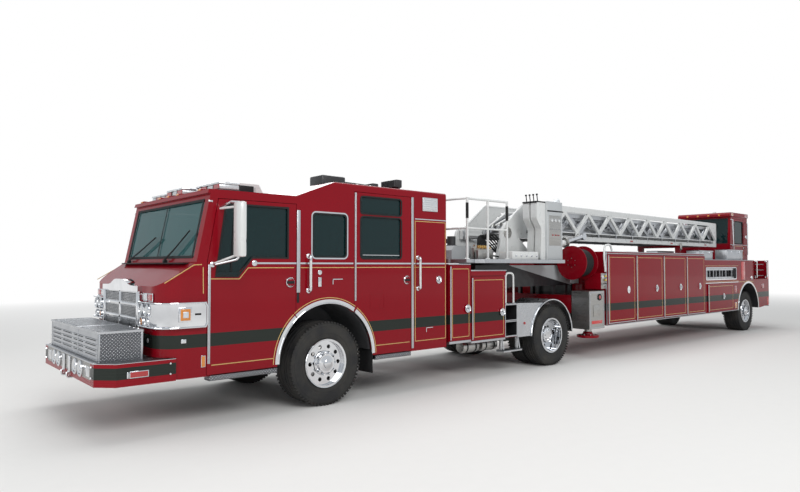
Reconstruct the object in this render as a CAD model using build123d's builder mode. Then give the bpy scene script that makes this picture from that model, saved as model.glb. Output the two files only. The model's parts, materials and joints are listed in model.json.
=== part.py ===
from build123d import *
from collections import namedtuple
from math import cos, radians, sin
import os

# A tractor-drawn aerial ladder fire engine: a four-door cab tractor, a long locker trailer hinged on it,
# and a four-section ladder on a turntable over the hinge. Millimetres, forward is -X, left is -Y, up is +Z.
# The origin is on the ground at the middle of the length.
os.makedirs("parts", exist_ok=True)

# Overall sizes
LENGTH = 18200
CAB_WIDTH = 2440
TRAILER_WIDTH = 2540
FRONT_OVERHANG = 2735
TRACTOR_WHEELBASE = 4860
KING_AHEAD_OF_DRIVE = 445
TILLER_WHEELBASE = 13900
GAP = 6
SEAT = 0.3
PLATE = 20
SCREEN_POST = 110

# Places along the length
FRONT_X = -LENGTH / 2
REAR_X = LENGTH / 2
FRONT_AXLE_X = FRONT_X + FRONT_OVERHANG
DRIVE_AXLE_X = FRONT_AXLE_X + TRACTOR_WHEELBASE
KING_X = DRIVE_AXLE_X - KING_AHEAD_OF_DRIVE
TILLER_AXLE_X = FRONT_AXLE_X + TILLER_WHEELBASE
CAB_HALF = CAB_WIDTH / 2
TRAILER_HALF = TRAILER_WIDTH / 2

# Wheels
TYRE_R = 536
TYRE_WIDTH = 385
TWIN_TYRE_WIDTH = 280
TWIN_GAP = 30
RIM_R = 298
SHOULDER_R = 45
RIM_SKIN = 14
DISC_SKIN = 22
HUB_R = 118
HUB_NOSE = 60
HUB_DEPTH = 120
CAP_SKIN = 12
SPINDLE_R = 45
HUB_BORE_R = SPINDLE_R + SEAT
SPINDLE_END_Y = 1110
TWIN_SPINDLE_Y = 960
WHEEL_OUTER_Y = 1190
TWIN_OUTER_Y = 1205
DISC_HOLES = 10
DISC_HOLE_R = 27
DISC_HOLE_CIRCLE_R = 215

# Chassis of the tractor
RAIL_IN_Y = 350
RAIL_OUT_Y = 430
RAIL_BOTTOM = 700
RAIL_TOP = 960
KINGPIN_Y = 740
KNUCKLE_HALF = 55
KNUCKLE_BOTTOM = 430
KNUCKLE_TOP = 642
EAR = 24

# Cab
CAB_WALL = 50
CAB_BACK_X = FRONT_AXLE_X + 2149
NOSE_X = FRONT_X + 600
NOSE_TOP = 1560
NOSE_BOTTOM = 800
NOSE_CORNER_R = 280
SCREEN_FOOT_X = NOSE_X + 390
SCREEN_FOOT_Z = 1830
SCREEN_HEAD_X = SCREEN_FOOT_X + 155
SILL_Z = 563
SKIRT_FRONT_X = NOSE_X + 180
EAVE_Z = 2600
HIGH_EAVE_Z = 2830
ROOF_STEP_X = NOSE_X + 1650
ROOF_RISE = 600
ROOF_SKIN = 48
ARCH_Z = 590
ARCH_R = 715
FLOOR_Z = 1100
ENGINE_FRONT_X = NOSE_X + 800
ENGINE_REAR_X = ENGINE_FRONT_X + 2300
ENGINE_HALF = 330
BUMPER_WALL = 12

# Trailer
NECK_BOTTOM = 1385
NECK_TOP = 1790
NECK_HALF = 450
NECK_FRONT_X = KING_X - 750
BODY_FRONT_X = KING_X + 2195
BODY_BOTTOM = 600
BODY_TOP = 2065
REAR_DECK_Z = 1925
REAR_BODY_X = BODY_FRONT_X + 4490
BODY_CORE_Y = 480
BODY_WALL = 25
JACK_FRONT_X = KING_X + 1565
JACK_REAR_X = BODY_FRONT_X - 90
JACK_IN_Y = 880
OUTRIGGER_BOX_TOP = 1200
FOOT_Z = 385
CRADLE_X = REAR_BODY_X + 290
SLEW_R = 480

# Turntable and ladder
DECK_Z = 1830
DECK_TOP = 1890
PIVOT_X = KING_X - 50
PIVOT_Z = 2385
LADDER_BOTTOM = 2300
LADDER_HALF = 530
TURRET_IN_Y = 545
PIN_R = 45
LIFT_PIN_R = 30
TRUSS_BAR = 45
LADDER_TIP_X = KING_X + 9280
RUNG_STEP = 350
RUNG = 32
LIFT_FOOT_X = PIVOT_X + 500
LIFT_FOOT_Z = PIVOT_Z - 400
LIFT_EYE_X = PIVOT_X + 2350
LIFT_Y = 680
BARREL_R = 62
ROD_R = 40

SIDES = ((-1, "left"), (1, "right"))


def save(piece, name):
    """Labels a finished piece and writes it."""
    piece.part.label = name
    export_step(piece.part, f"parts/{name}.step")


def block(x, y, z, mode=Mode.ADD):
    """A box between two places along each axis."""
    with Locations(((x[0] + x[1]) / 2, (y[0] + y[1]) / 2, (z[0] + z[1]) / 2)):
        Box(abs(x[1] - x[0]), abs(y[1] - y[0]), abs(z[1] - z[0]), mode=mode)


def slab(points, y, mode=Mode.ADD):
    """A side outline, as (x, z) points, extruded between two places across the vehicle."""
    with BuildSketch(Plane.XZ.offset(-max(y))) as outline:
        Polygon(*points, align=None)
    extrude(outline.sketch, amount=abs(y[1] - y[0]), mode=mode)


def rod(start, end, radius, mode=Mode.ADD):
    """A round bar from one point to another."""
    line = Vector(*end) - Vector(*start)
    with BuildSketch(Plane(origin=start, z_dir=line)) as disc:
        Circle(radius)
    extrude(disc.sketch, amount=line.length, mode=mode)


def screen_x(z):
    """The outer face of the raked windscreen at a height."""
    lean = (SCREEN_HEAD_X - SCREEN_FOOT_X) / (EAVE_Z - SCREEN_FOOT_Z)
    return SCREEN_FOOT_X + (z - SCREEN_FOOT_Z) * lean


def cab_plan(grow, z, mode):
    """The cab's plan with its rounded nose corners, grown all round, between two heights."""
    front, rear = NOSE_X - grow, CAB_BACK_X + grow
    with BuildSketch(Plane.XY.offset(z[0])) as plan:
        with Locations(((front + rear) / 2, 0)):
            Rectangle(rear - front, CAB_WIDTH + 2 * grow)
        fillet(plan.vertices().group_by(Axis.X)[0], radius=NOSE_CORNER_R + grow)
    extrude(plan.sketch, amount=z[1] - z[0], mode=mode)


def ring(axle_x, y, radii, shoulder=0, mode=Mode.ADD):
    """A ring about a wheel's axle line, with its outer corners rounded."""
    with BuildSketch(Plane.YZ.offset(axle_x)) as section:
        with Locations(((y[0] + y[1]) / 2, TYRE_R + (radii[0] + radii[1]) / 2)):
            Rectangle(abs(y[1] - y[0]), radii[1] - radii[0])
        if shoulder:
            fillet(section.vertices().group_by(Axis.Z)[-1], radius=shoulder)
    revolve(section.sketch, axis=Axis((axle_x, 0, TYRE_R), (0, 1, 0)), mode=mode)


# Wheels: a tyre on a ten-hole disc rim, and two of each in one body on the drive axle
Wheel = namedtuple("Wheel", "name axle_x outer_y width twins dish")
WHEELS = (
    Wheel("front", FRONT_AXLE_X, WHEEL_OUTER_Y, TYRE_WIDTH, 1, 55),
    Wheel("drive", DRIVE_AXLE_X, TWIN_OUTER_Y, TWIN_TYRE_WIDTH, 2, 215),
    Wheel("tiller", TILLER_AXLE_X, WHEEL_OUTER_Y, TYRE_WIDTH, 1, 55),
)
for wheel in WHEELS:
    for side, hand in SIDES:
        with BuildPart() as piece:
            for turn in range(wheel.twins):
                outer = wheel.outer_y - turn * (wheel.width + TWIN_GAP)
                inner = outer - wheel.width
                ring(wheel.axle_x, (side * inner, side * outer), (RIM_R, TYRE_R), SHOULDER_R)
        tyres = piece.part
        with BuildPart() as rims:
            last = wheel.outer_y - (wheel.twins - 1) * (wheel.width + TWIN_GAP) - wheel.width
            ring(wheel.axle_x, (side * last, side * wheel.outer_y), (RIM_R - RIM_SKIN, RIM_R - SEAT))
            disc = wheel.outer_y - wheel.dish
            ring(wheel.axle_x, (side * (disc - DISC_SKIN), side * disc), (HUB_BORE_R, RIM_R - RIM_SKIN))
            ring(wheel.axle_x, (side * (disc - HUB_DEPTH), side * (disc + HUB_NOSE)), (HUB_BORE_R, HUB_R))
            face = Plane(origin=(wheel.axle_x, side * disc, TYRE_R), x_dir=(1, 0, 0), z_dir=(0, side, 0))
            with BuildSketch(face):
                with PolarLocations(DISC_HOLE_CIRCLE_R, DISC_HOLES):
                    Circle(DISC_HOLE_R)
            extrude(amount=-2 * DISC_SKIN, mode=Mode.SUBTRACT)
            cap_y = disc + HUB_NOSE
            rod(
                (wheel.axle_x, side * cap_y, TYRE_R),
                (wheel.axle_x, side * (cap_y - CAP_SKIN), TYRE_R),
                HUB_R,
            )
        with BuildPart() as piece:
            add(tyres)
            add(rims.part)
        save(piece, f"wheel_{wheel.name}_{hand}")

# Steered wheels: a knuckle with its kingpin block and spindle on each side
for axle, axle_x in (("front", FRONT_AXLE_X), ("tiller", TILLER_AXLE_X)):
    for side, hand in SIDES:
        with BuildPart() as knuckle:
            block(
                (axle_x - KNUCKLE_HALF, axle_x + KNUCKLE_HALF),
                (side * (KINGPIN_Y - KNUCKLE_HALF), side * (KINGPIN_Y + KNUCKLE_HALF)),
                (KNUCKLE_BOTTOM, KNUCKLE_TOP),
            )
            fillet(knuckle.edges().filter_by(Axis.Z), radius=KNUCKLE_HALF * 0.45)
            rod((axle_x, side * KINGPIN_Y, TYRE_R), (axle_x, side * SPINDLE_END_Y, TYRE_R), SPINDLE_R)
        save(knuckle, f"knuckle_{axle}_{hand}")


def dead_axle(axle_x):
    """The beam between the knuckles, with an ear above and below each kingpin, and its leaf springs."""
    beam_end = KINGPIN_Y - KNUCKLE_HALF - 40
    block((axle_x - 55, axle_x + 55), (-beam_end, beam_end), (TYRE_R - 70, TYRE_R + 64))
    for side, _ in SIDES:
        block(
            (axle_x - 50, axle_x + 50),
            (side * (beam_end - 60), side * beam_end),
            (KNUCKLE_BOTTOM - SEAT - EAR, KNUCKLE_TOP + SEAT + EAR),
        )
        for low in (KNUCKLE_BOTTOM - SEAT - EAR, KNUCKLE_TOP + SEAT):
            block(
                (axle_x - 50, axle_x + 50),
                (side * (beam_end - 10), side * (KINGPIN_Y + 45)),
                (low, low + EAR),
            )
        slab(
            (
                (axle_x - 700, RAIL_BOTTOM),
                (axle_x - 640, RAIL_BOTTOM),
                (axle_x - 120, TYRE_R + 105),
                (axle_x + 120, TYRE_R + 105),
                (axle_x + 640, RAIL_BOTTOM),
                (axle_x + 700, RAIL_BOTTOM),
                (axle_x + 120, TYRE_R + 50),
                (axle_x - 120, TYRE_R + 50),
            ),
            (side * RAIL_IN_Y, side * RAIL_OUT_Y),
        )


def rails(front, rear, bottom, top, crossings):
    """Two channel side rails, open inwards, and the cross-members between them."""
    flange = 12
    for side, _ in SIDES:
        block((front, rear), (side * RAIL_IN_Y, side * RAIL_OUT_Y), (bottom, top))
        block(
            (front, rear),
            (side * (RAIL_IN_Y - 1), side * (RAIL_OUT_Y - flange)),
            (bottom + flange, top - flange),
            mode=Mode.SUBTRACT,
        )
    for x in crossings:
        block((x - 60, x + 60), (-RAIL_OUT_Y + flange, RAIL_OUT_Y - flange), (bottom + 100, top - 40))


# Tractor chassis: rails, front beam, drive axle housing and the pedestal under the hinge
TRACTOR_RAIL_END_X = KING_X + 1430
with BuildPart() as tractor_frame:
    rails(
        SKIRT_FRONT_X + 5,
        TRACTOR_RAIL_END_X,
        RAIL_BOTTOM,
        RAIL_TOP,
        (SKIRT_FRONT_X + 80, FRONT_AXLE_X + 1500, FRONT_AXLE_X + 2900, KING_X - 380, TRACTOR_RAIL_END_X - 80),
    )
    dead_axle(FRONT_AXLE_X)
    # drive axle: a tube with its round differential housing and a spindle end in each pair of wheels
    rod((DRIVE_AXLE_X, -TWIN_SPINDLE_Y, TYRE_R), (DRIVE_AXLE_X, TWIN_SPINDLE_Y, TYRE_R), SPINDLE_R)
    rod((DRIVE_AXLE_X, -560, TYRE_R), (DRIVE_AXLE_X, 560, TYRE_R), 85)
    rod((DRIVE_AXLE_X, -130, TYRE_R), (DRIVE_AXLE_X, 130, TYRE_R), 210)
    for side, _ in SIDES:
        block(
            (DRIVE_AXLE_X - 330, DRIVE_AXLE_X + 330),
            (side * RAIL_IN_Y, side * RAIL_OUT_Y),
            (TYRE_R + 40, TYRE_R + 110),
        )
        for x in (DRIVE_AXLE_X - 270, DRIVE_AXLE_X + 270):
            rod((x, side * 390, TYRE_R + 100), (x, side * 390, RAIL_BOTTOM + 5), 38)
    # the hinge's pedestal between the rails and the trailer's neck
    block((KING_X - 420, KING_X + 420), (-RAIL_OUT_Y, RAIL_OUT_Y), (RAIL_TOP - 40, RAIL_TOP + 50))
    with BuildSketch(Plane.XY.offset(RAIL_TOP + 50)):
        with Locations((KING_X, 0)):
            Circle(420)
    with BuildSketch(Plane.XY.offset(NECK_BOTTOM - SEAT - 60)):
        with Locations((KING_X, 0)):
            Circle(360)
    loft()
    rod((KING_X, 0, NECK_BOTTOM - SEAT - 60), (KING_X, 0, NECK_BOTTOM - SEAT), 440)
    # bumper arms
    for side, _ in SIDES:
        block(
            (FRONT_X + BUMPER_WALL + SEAT, SKIRT_FRONT_X + 60),
            (side * RAIL_IN_Y, side * RAIL_OUT_Y),
            (620, 760),
        )
        # cab mounts on the rails
        for x in (ENGINE_FRONT_X - 250, CAB_BACK_X - 200):
            block((x - 50, x + 50), (side * (RAIL_IN_Y + 35), side * RAIL_OUT_Y), (RAIL_TOP - 5, FLOOR_Z - 30 - SEAT))
        # engine mounts on the rails
        for x in (ENGINE_FRONT_X + 200, ENGINE_REAR_X - 900):
            block((x - 60, x + 60), (side * (ENGINE_HALF + SEAT), side * (RAIL_OUT_Y - 5)), (780, 880))
    # shaft from the engine to the drive axle
    rod((ENGINE_REAR_X + 5, 0, 760), (DRIVE_AXLE_X - 180, 0, TYRE_R), 50)
save(tractor_frame, "tractor_frame")

with BuildPart() as engine_block:
    block((ENGINE_FRONT_X, ENGINE_REAR_X - 700), (-ENGINE_HALF, ENGINE_HALF), (660, 1380))
    block((ENGINE_REAR_X - 700, ENGINE_REAR_X), (-240, 240), (640, 1000))
save(engine_block, "engine_block")

# Cab shell: the side outline crossed with the rounded plan, hollow, with its doorways, windows and arches cut
Door = namedtuple("Door", "name hinge_x rear_x head_z front_top_x")
CAB_DOORS = (
    Door("front", FRONT_AXLE_X - 1625, FRONT_AXLE_X - 475, 2550, FRONT_AXLE_X - 1500),
    Door("crew", FRONT_AXLE_X + 415, FRONT_AXLE_X + 1435, 2775, FRONT_AXLE_X + 415),
)
Window = namedtuple("Window", "front_x rear_x foot_z head_z front_head_x")
FRONT_DOOR_WINDOW = Window(FRONT_AXLE_X - 1520, FRONT_AXLE_X - 595, 1715, 2490, FRONT_AXLE_X - 1405)
MID_WINDOW = Window(FRONT_AXLE_X - 245, FRONT_AXLE_X + 295, 1885, 2460, FRONT_AXLE_X - 245)
CREW_LOW_WINDOW = Window(FRONT_AXLE_X + 525, FRONT_AXLE_X + 1245, 1885, 2445, FRONT_AXLE_X + 525)
CREW_HIGH_WINDOW = Window(FRONT_AXLE_X + 525, FRONT_AXLE_X + 1245, 2490, 2715, FRONT_AXLE_X + 525)
DOOR_BOTTOM = SILL_Z + 12
GLASS = 6
LEAF = CAB_WALL - 6
REAR_GAP_Y = 600
HINGE_HEIGHTS = (1240, 1480, 1720)


def window_outline(window):
    return (
        (window.front_x, window.foot_z),
        (window.rear_x, window.foot_z),
        (window.rear_x, window.head_z),
        (window.front_head_x, window.head_z),
    )


def door_outline(door, inset):
    """A cab door's side outline, before the wheel arch is cut from its lower corner."""
    return (
        (door.hinge_x + inset, DOOR_BOTTOM + inset - GAP),
        (door.rear_x - inset, DOOR_BOTTOM + inset - GAP),
        (door.rear_x - inset, door.head_z - inset),
        (door.front_top_x + inset, door.head_z - inset),
        (door.hinge_x + inset, SCREEN_FOOT_Z),
    )


def cab_outline(inset, foot, lift):
    """The cab's side outline, set in by a wall."""
    return (
        (NOSE_X + inset, foot if inset else NOSE_BOTTOM),
        (NOSE_X + inset, NOSE_TOP - inset * 0.4),
        (SCREEN_FOOT_X + inset, SCREEN_FOOT_Z - inset * 0.4),
        (SCREEN_HEAD_X + inset, EAVE_Z + lift),
        (ROOF_STEP_X, EAVE_Z + lift),
        (ROOF_STEP_X + ROOF_RISE, HIGH_EAVE_Z + lift),
        (CAB_BACK_X - inset, HIGH_EAVE_Z + lift),
        (CAB_BACK_X - inset, foot),
        (SKIRT_FRONT_X, foot),
    ) + (() if inset else ((SKIRT_FRONT_X, NOSE_BOTTOM),))


with BuildPart() as cab_void:
    slab(cab_outline(CAB_WALL, SILL_Z - 50, 50), (-CAB_HALF + CAB_WALL, CAB_HALF - CAB_WALL))
    cab_plan(-CAB_WALL, (0, 3200), Mode.INTERSECT)

with BuildPart() as cab_walls:
    slab(cab_outline(0, SILL_Z, 0), (-CAB_HALF, CAB_HALF))
    cab_plan(0, (0, 3200), Mode.INTERSECT)
    add(cab_void.part, mode=Mode.SUBTRACT)
    for side, _ in SIDES:
        skin = (side * (CAB_HALF - CAB_WALL - 5), side * (CAB_HALF + 5))
        for door in CAB_DOORS:
            slab(door_outline(door, 0), skin, mode=Mode.SUBTRACT)
            block((door.hinge_x + 60, door.rear_x - 60), skin, (0, DOOR_BOTTOM + 5), mode=Mode.SUBTRACT)
        slab(window_outline(MID_WINDOW), skin, mode=Mode.SUBTRACT)
    rod((FRONT_AXLE_X, -CAB_HALF - 5, ARCH_Z), (FRONT_AXLE_X, CAB_HALF + 5, ARCH_Z), ARCH_R, mode=Mode.SUBTRACT)
    block(
        (NOSE_X, SCREEN_HEAD_X + 100),
        (-CAB_HALF + SCREEN_POST, CAB_HALF - SCREEN_POST),
        (SCREEN_FOOT_Z + 50, EAVE_Z - 70),
        mode=Mode.SUBTRACT,
    )
    # door hinges in the gap ahead of each door
    for side, _ in SIDES:
        for door in CAB_DOORS:
            for z in HINGE_HEIGHTS:
                block(
                    (door.hinge_x - 1, door.hinge_x + GAP - SEAT),
                    (side * (CAB_HALF - 42), side * (CAB_HALF - 8)),
                    (z, z + 90),
                )
    # the rear wall stands over the chassis rails
    block((CAB_BACK_X - CAB_WALL - 5, CAB_BACK_X + 5), (-REAR_GAP_Y, REAR_GAP_Y), (0, FLOOR_Z - 30), mode=Mode.SUBTRACT)
save(cab_walls, "cab_walls")

with BuildPart() as cab_roof:
    slab(
        (
            (SCREEN_HEAD_X - 35, EAVE_Z),
            (SCREEN_HEAD_X - 20, EAVE_Z + ROOF_SKIN),
            (ROOF_STEP_X, EAVE_Z + ROOF_SKIN),
            (ROOF_STEP_X + ROOF_RISE, HIGH_EAVE_Z + ROOF_SKIN),
            (CAB_BACK_X, HIGH_EAVE_Z + ROOF_SKIN),
            (CAB_BACK_X, HIGH_EAVE_Z),
            (ROOF_STEP_X + ROOF_RISE, HIGH_EAVE_Z),
            (ROOF_STEP_X, EAVE_Z),
        ),
        (-CAB_HALF, CAB_HALF),
    )
    tops = cab_roof.edges().filter_by(Axis.X).group_by(Axis.Z)
    fillet(tops[-1], radius=ROOF_SKIN * 0.8)
save(cab_roof, "cab_roof")

# Cab glass: the raked windscreen and the fixed window on each side
with BuildPart() as cab_glass:
    low, high = SCREEN_FOOT_Z + 50, EAVE_Z - 70
    slab(
        (
            (screen_x(low) + 12, low),
            (screen_x(low) + 12 + GLASS, low),
            (screen_x(high) + 12 + GLASS, high),
            (screen_x(high) + 12, high),
        ),
        (-CAB_HALF + SCREEN_POST, CAB_HALF - SCREEN_POST),
    )
    for side, _ in SIDES:
        slab(window_outline(MID_WINDOW), (side * (CAB_HALF - 20), side * (CAB_HALF - 20 - GLASS)))
save(cab_glass, "cab_glass")

# Cab floor: a plate with the engine tunnel, the wheel housings and a stepped well inside each doorway
STEP_WELL_Y = 860
with BuildPart() as cab_floor:
    inner_y = CAB_HALF - CAB_WALL
    block((NOSE_X + 300, CAB_BACK_X - CAB_WALL), (-inner_y, inner_y), (FLOOR_Z - 30, FLOOR_Z))
    block((ENGINE_FRONT_X - 60, ENGINE_REAR_X - 640), (-400, 400), (FLOOR_Z - 30, 1450))
    for side, _ in SIDES:
        rod(
            (FRONT_AXLE_X, side * (STEP_WELL_Y - 380), ARCH_Z),
            (FRONT_AXLE_X, side * inner_y, ARCH_Z),
            ARCH_R + 12,
        )
        for door in CAB_DOORS:
            front = door.hinge_x + 40 if door.name == "front" else FRONT_AXLE_X + ARCH_R + 30
            rear = FRONT_AXLE_X - ARCH_R - 30 if door.name == "front" else door.rear_x - 20
            well = (side * STEP_WELL_Y, side * inner_y)
            block((front, rear), well, (DOOR_BOTTOM + 10, FLOOR_Z))
            block((front + 20, rear - 20), (side * (STEP_WELL_Y + 20), side * (inner_y + 1)),
                  (DOOR_BOTTOM + 30, 830), mode=Mode.SUBTRACT)
            block((front + 20, rear - 20), (side * (STEP_WELL_Y + 20), side * (inner_y + 1)),
                  (850, FLOOR_Z + 1), mode=Mode.SUBTRACT)
    block((ENGINE_FRONT_X - 100, ENGINE_REAR_X - 670), (-370, 370), (0, 1420), mode=Mode.SUBTRACT)
    for side, _ in SIDES:
        rod(
            (FRONT_AXLE_X, side * (STEP_WELL_Y - 360), ARCH_Z),
            (FRONT_AXLE_X, side * (inner_y + 5), ARCH_Z),
            ARCH_R - 8,
            mode=Mode.SUBTRACT,
        )
    block(
        (FRONT_AXLE_X - ARCH_R - 25, FRONT_AXLE_X + ARCH_R + 25),
        (-inner_y - 5, inner_y + 5),
        (-500, ARCH_Z + 60),
        mode=Mode.SUBTRACT,
    )
save(cab_floor, "cab_floor")

# Cab doors: hollow-backed leaves hinged at their front edge, each with its window glass and pull handle
MIRROR_Y = CAB_HALF + 290
for door in CAB_DOORS:
    windows = (FRONT_DOOR_WINDOW,) if door.name == "front" else (CREW_LOW_WINDOW, CREW_HIGH_WINDOW)
    for side, hand in SIDES:
        with BuildPart() as leaf:
            slab(door_outline(door, GAP), (side * CAB_HALF, side * (CAB_HALF - LEAF)))
            rod(
                (FRONT_AXLE_X, side * (CAB_HALF + 5), ARCH_Z),
                (FRONT_AXLE_X, side * (CAB_HALF - CAB_WALL), ARCH_Z),
                ARCH_R + 20,
                mode=Mode.SUBTRACT,
            )
            for window in windows:
                slab(window_outline(window), (side * (CAB_HALF + 5), side * (CAB_HALF - CAB_WALL)), mode=Mode.SUBTRACT)
            handle_x = door.rear_x - 90
            block((handle_x - 45, handle_x + 45), (side * CAB_HALF, side * (CAB_HALF + 22)), (1545, 1620))
            if door.name == "front":
                # the tall mirror pair stands off the door's front edge on two arms
                mirror_x = door.hinge_x + 215
                for foot_x, foot_z, head_z in ((60, 1800, 1905), (150, 2435, 2440)):
                    foot = (door.hinge_x + foot_x, side * (CAB_HALF - 10), foot_z)
                    rod(foot, (mirror_x, side * MIRROR_Y, head_z), 14)
                block((mirror_x - 30, mirror_x + 30), (side * (MIRROR_Y - 20), side * (MIRROR_Y + 150)), (1890, 2480))
        with BuildPart() as panes:
            for window in windows:
                slab(window_outline(window), (side * (CAB_HALF - 19), side * (CAB_HALF - 19 - GLASS)))
        with BuildPart() as whole:
            add(leaf.part)
            add(panes.part)
        save(whole, f"door_{door.name}_{hand}")

# Cab interior: two front seats, a rear bench row, the dash and the steering wheel
with BuildPart() as cab_interior:
    for x, y in (
        (FRONT_AXLE_X - 900, -720),
        (FRONT_AXLE_X - 900, 720),
        (FRONT_AXLE_X + 1500, -800),
        (FRONT_AXLE_X + 1500, -270),
        (FRONT_AXLE_X + 1500, 270),
        (FRONT_AXLE_X + 1500, 800),
    ):
        slab(
            (
                (x - 200, FLOOR_Z),
                (x + 250, FLOOR_Z),
                (x + 250, FLOOR_Z + 380),
                (x + 370, FLOOR_Z + 1180),
                (x + 250, FLOOR_Z + 1200),
                (x + 130, FLOOR_Z + 480),
                (x - 260, FLOOR_Z + 480),
                (x - 260, FLOOR_Z + 360),
                (x - 200, FLOOR_Z + 340),
            ),
            (y - 230, y + 230),
        )
    slab(
        (
            (NOSE_X + 320, FLOOR_Z),
            (NOSE_X + 540, FLOOR_Z),
            (NOSE_X + 700, FLOOR_Z + 560),
            (NOSE_X + 660, FLOOR_Z + 700),
            (NOSE_X + 460, FLOOR_Z + 720),
        ),
        (-1100, 1100),
    )
    wheel_at = Plane(origin=(NOSE_X + 840, -720, FLOOR_Z + 790), z_dir=(-0.75, 0, -0.66))
    with BuildSketch(wheel_at):
        Circle(230)
        Circle(198, mode=Mode.SUBTRACT)
        Rectangle(400, 40)
        Rectangle(40, 400)
    extrude(amount=26)
    rod((NOSE_X + 840, -720, FLOOR_Z + 790), (NOSE_X + 600, -720, FLOOR_Z + 560), 28)
save(cab_interior, "cab_interior")

# Front brightwork: the arched grille frame with two rows of openings, and the lamp bands round the corners
GRILLE_HALF = 640
GRILLE_FOOT = 985
GRILLE_HEAD = 1545
GRILLE_PROUD = 30
LAMP_FOOT = 1110
LAMP_HEAD = 1390
LAMP_PROUD = 32
LAMP_REAR_X = FRONT_AXLE_X - 1640
with BuildPart() as front_chrome:
    with BuildSketch(Plane.YZ.offset(NOSE_X - GRILLE_PROUD)) as grille:
        with Locations((0, (GRILLE_FOOT + GRILLE_HEAD) / 2)):
            Rectangle(2 * GRILLE_HALF, GRILLE_HEAD - GRILLE_FOOT)
        fillet(grille.vertices().group_by(Axis.Y)[-1], radius=110)
        row = (GRILLE_HEAD - GRILLE_FOOT - 80) / 3
        with Locations((0, (GRILLE_FOOT + GRILLE_HEAD) / 2)):
            with GridLocations(GRILLE_HALF - 30, row, 2, 3):
                Rectangle(GRILLE_HALF - 90, row - 45, mode=Mode.SUBTRACT)
    extrude(amount=GRILLE_PROUD)
    with BuildSketch(Plane.YZ.offset(NOSE_X - 8)):
        with Locations((0, (GRILLE_FOOT + GRILLE_HEAD) / 2)):
            Rectangle(2 * GRILLE_HALF - 60, GRILLE_HEAD - GRILLE_FOOT - 60)
    extrude(amount=8)
with BuildPart() as lamp_bands:
    cab_plan(LAMP_PROUD, (LAMP_FOOT, LAMP_HEAD), Mode.ADD)
    cab_plan(0, (0, 3000), Mode.SUBTRACT)
    block((NOSE_X - 100, NOSE_X + 100), (-GRILLE_HALF - 20, GRILLE_HALF + 20), (0, 3000), mode=Mode.SUBTRACT)
    block((LAMP_REAR_X, REAR_X), (-3000, 3000), (0, 3000), mode=Mode.SUBTRACT)
with BuildPart() as front_bright:
    add(front_chrome.part)
    add(lamp_bands.part)
    for side, _ in SIDES:
        for y in (GRILLE_HALF + 125, GRILLE_HALF + 300):
            rod(
                (NOSE_X - LAMP_PROUD, side * y, (LAMP_FOOT + LAMP_HEAD) / 2),
                (NOSE_X - LAMP_PROUD - 14, side * y, (LAMP_FOOT + LAMP_HEAD) / 2),
                80,
            )
save(front_bright, "front_chrome")

# Front bumper: a hollow wrap with cut corners, its deck, and the open tray box with its lid
BUMPER_TOP = 795
BUMPER_FOOT = 558
BUMPER_CUT = 167
BUMPER_REAR_X = SKIRT_FRONT_X - 5
DECK_SKIN = 10
TRAY_FRONT_X = FRONT_X + 55
TRAY_REAR_X = NOSE_X - 100
TRAY_HALF = 1000
TRAY_TOP = 1085
LID_SKIN = 22


def bumper_plan(inset):
    cut = BUMPER_CUT - inset * 0.4
    y = CAB_HALF - inset
    x = FRONT_X + inset
    return (
        (x, -y + cut), (x + cut, -y), (BUMPER_REAR_X + inset, -y),
        (BUMPER_REAR_X + inset, y), (x + cut, y), (x, y - cut),
    )


with BuildPart() as front_bumper:
    with BuildSketch(Plane.XY.offset(BUMPER_FOOT)):
        Polygon(*bumper_plan(0), align=None)
    extrude(amount=BUMPER_TOP - BUMPER_FOOT)
    with BuildSketch(Plane.XY.offset(BUMPER_FOOT)):
        Polygon(*bumper_plan(BUMPER_WALL), align=None)
    extrude(amount=BUMPER_TOP - BUMPER_FOOT - DECK_SKIN, mode=Mode.SUBTRACT)
    block((TRAY_FRONT_X, TRAY_REAR_X), (-TRAY_HALF, TRAY_HALF), (BUMPER_TOP, TRAY_TOP))
    block(
        (TRAY_FRONT_X + PLATE, TRAY_REAR_X - PLATE),
        (-TRAY_HALF + PLATE, TRAY_HALF - PLATE),
        (BUMPER_TOP, TRAY_TOP + 1),
        mode=Mode.SUBTRACT,
    )
    with BuildSketch(Plane.YZ.offset(TRAY_FRONT_X)):
        with Locations((0, (BUMPER_TOP + TRAY_TOP) / 2)):
            with GridLocations(480, 52, 4, 4):
                SlotOverall(400, 22)
    extrude(amount=PLATE, mode=Mode.SUBTRACT)
save(front_bumper, "front_bumper")

with BuildPart() as tray_lid:
    block(
        (TRAY_FRONT_X - 12, TRAY_REAR_X + 12),
        (-TRAY_HALF - 12, TRAY_HALF + 12),
        (TRAY_TOP + SEAT, TRAY_TOP + SEAT + LID_SKIN),
    )
    fillet(tray_lid.edges().filter_by(Axis.Z), radius=18)
save(tray_lid, "tray_lid")

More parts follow.
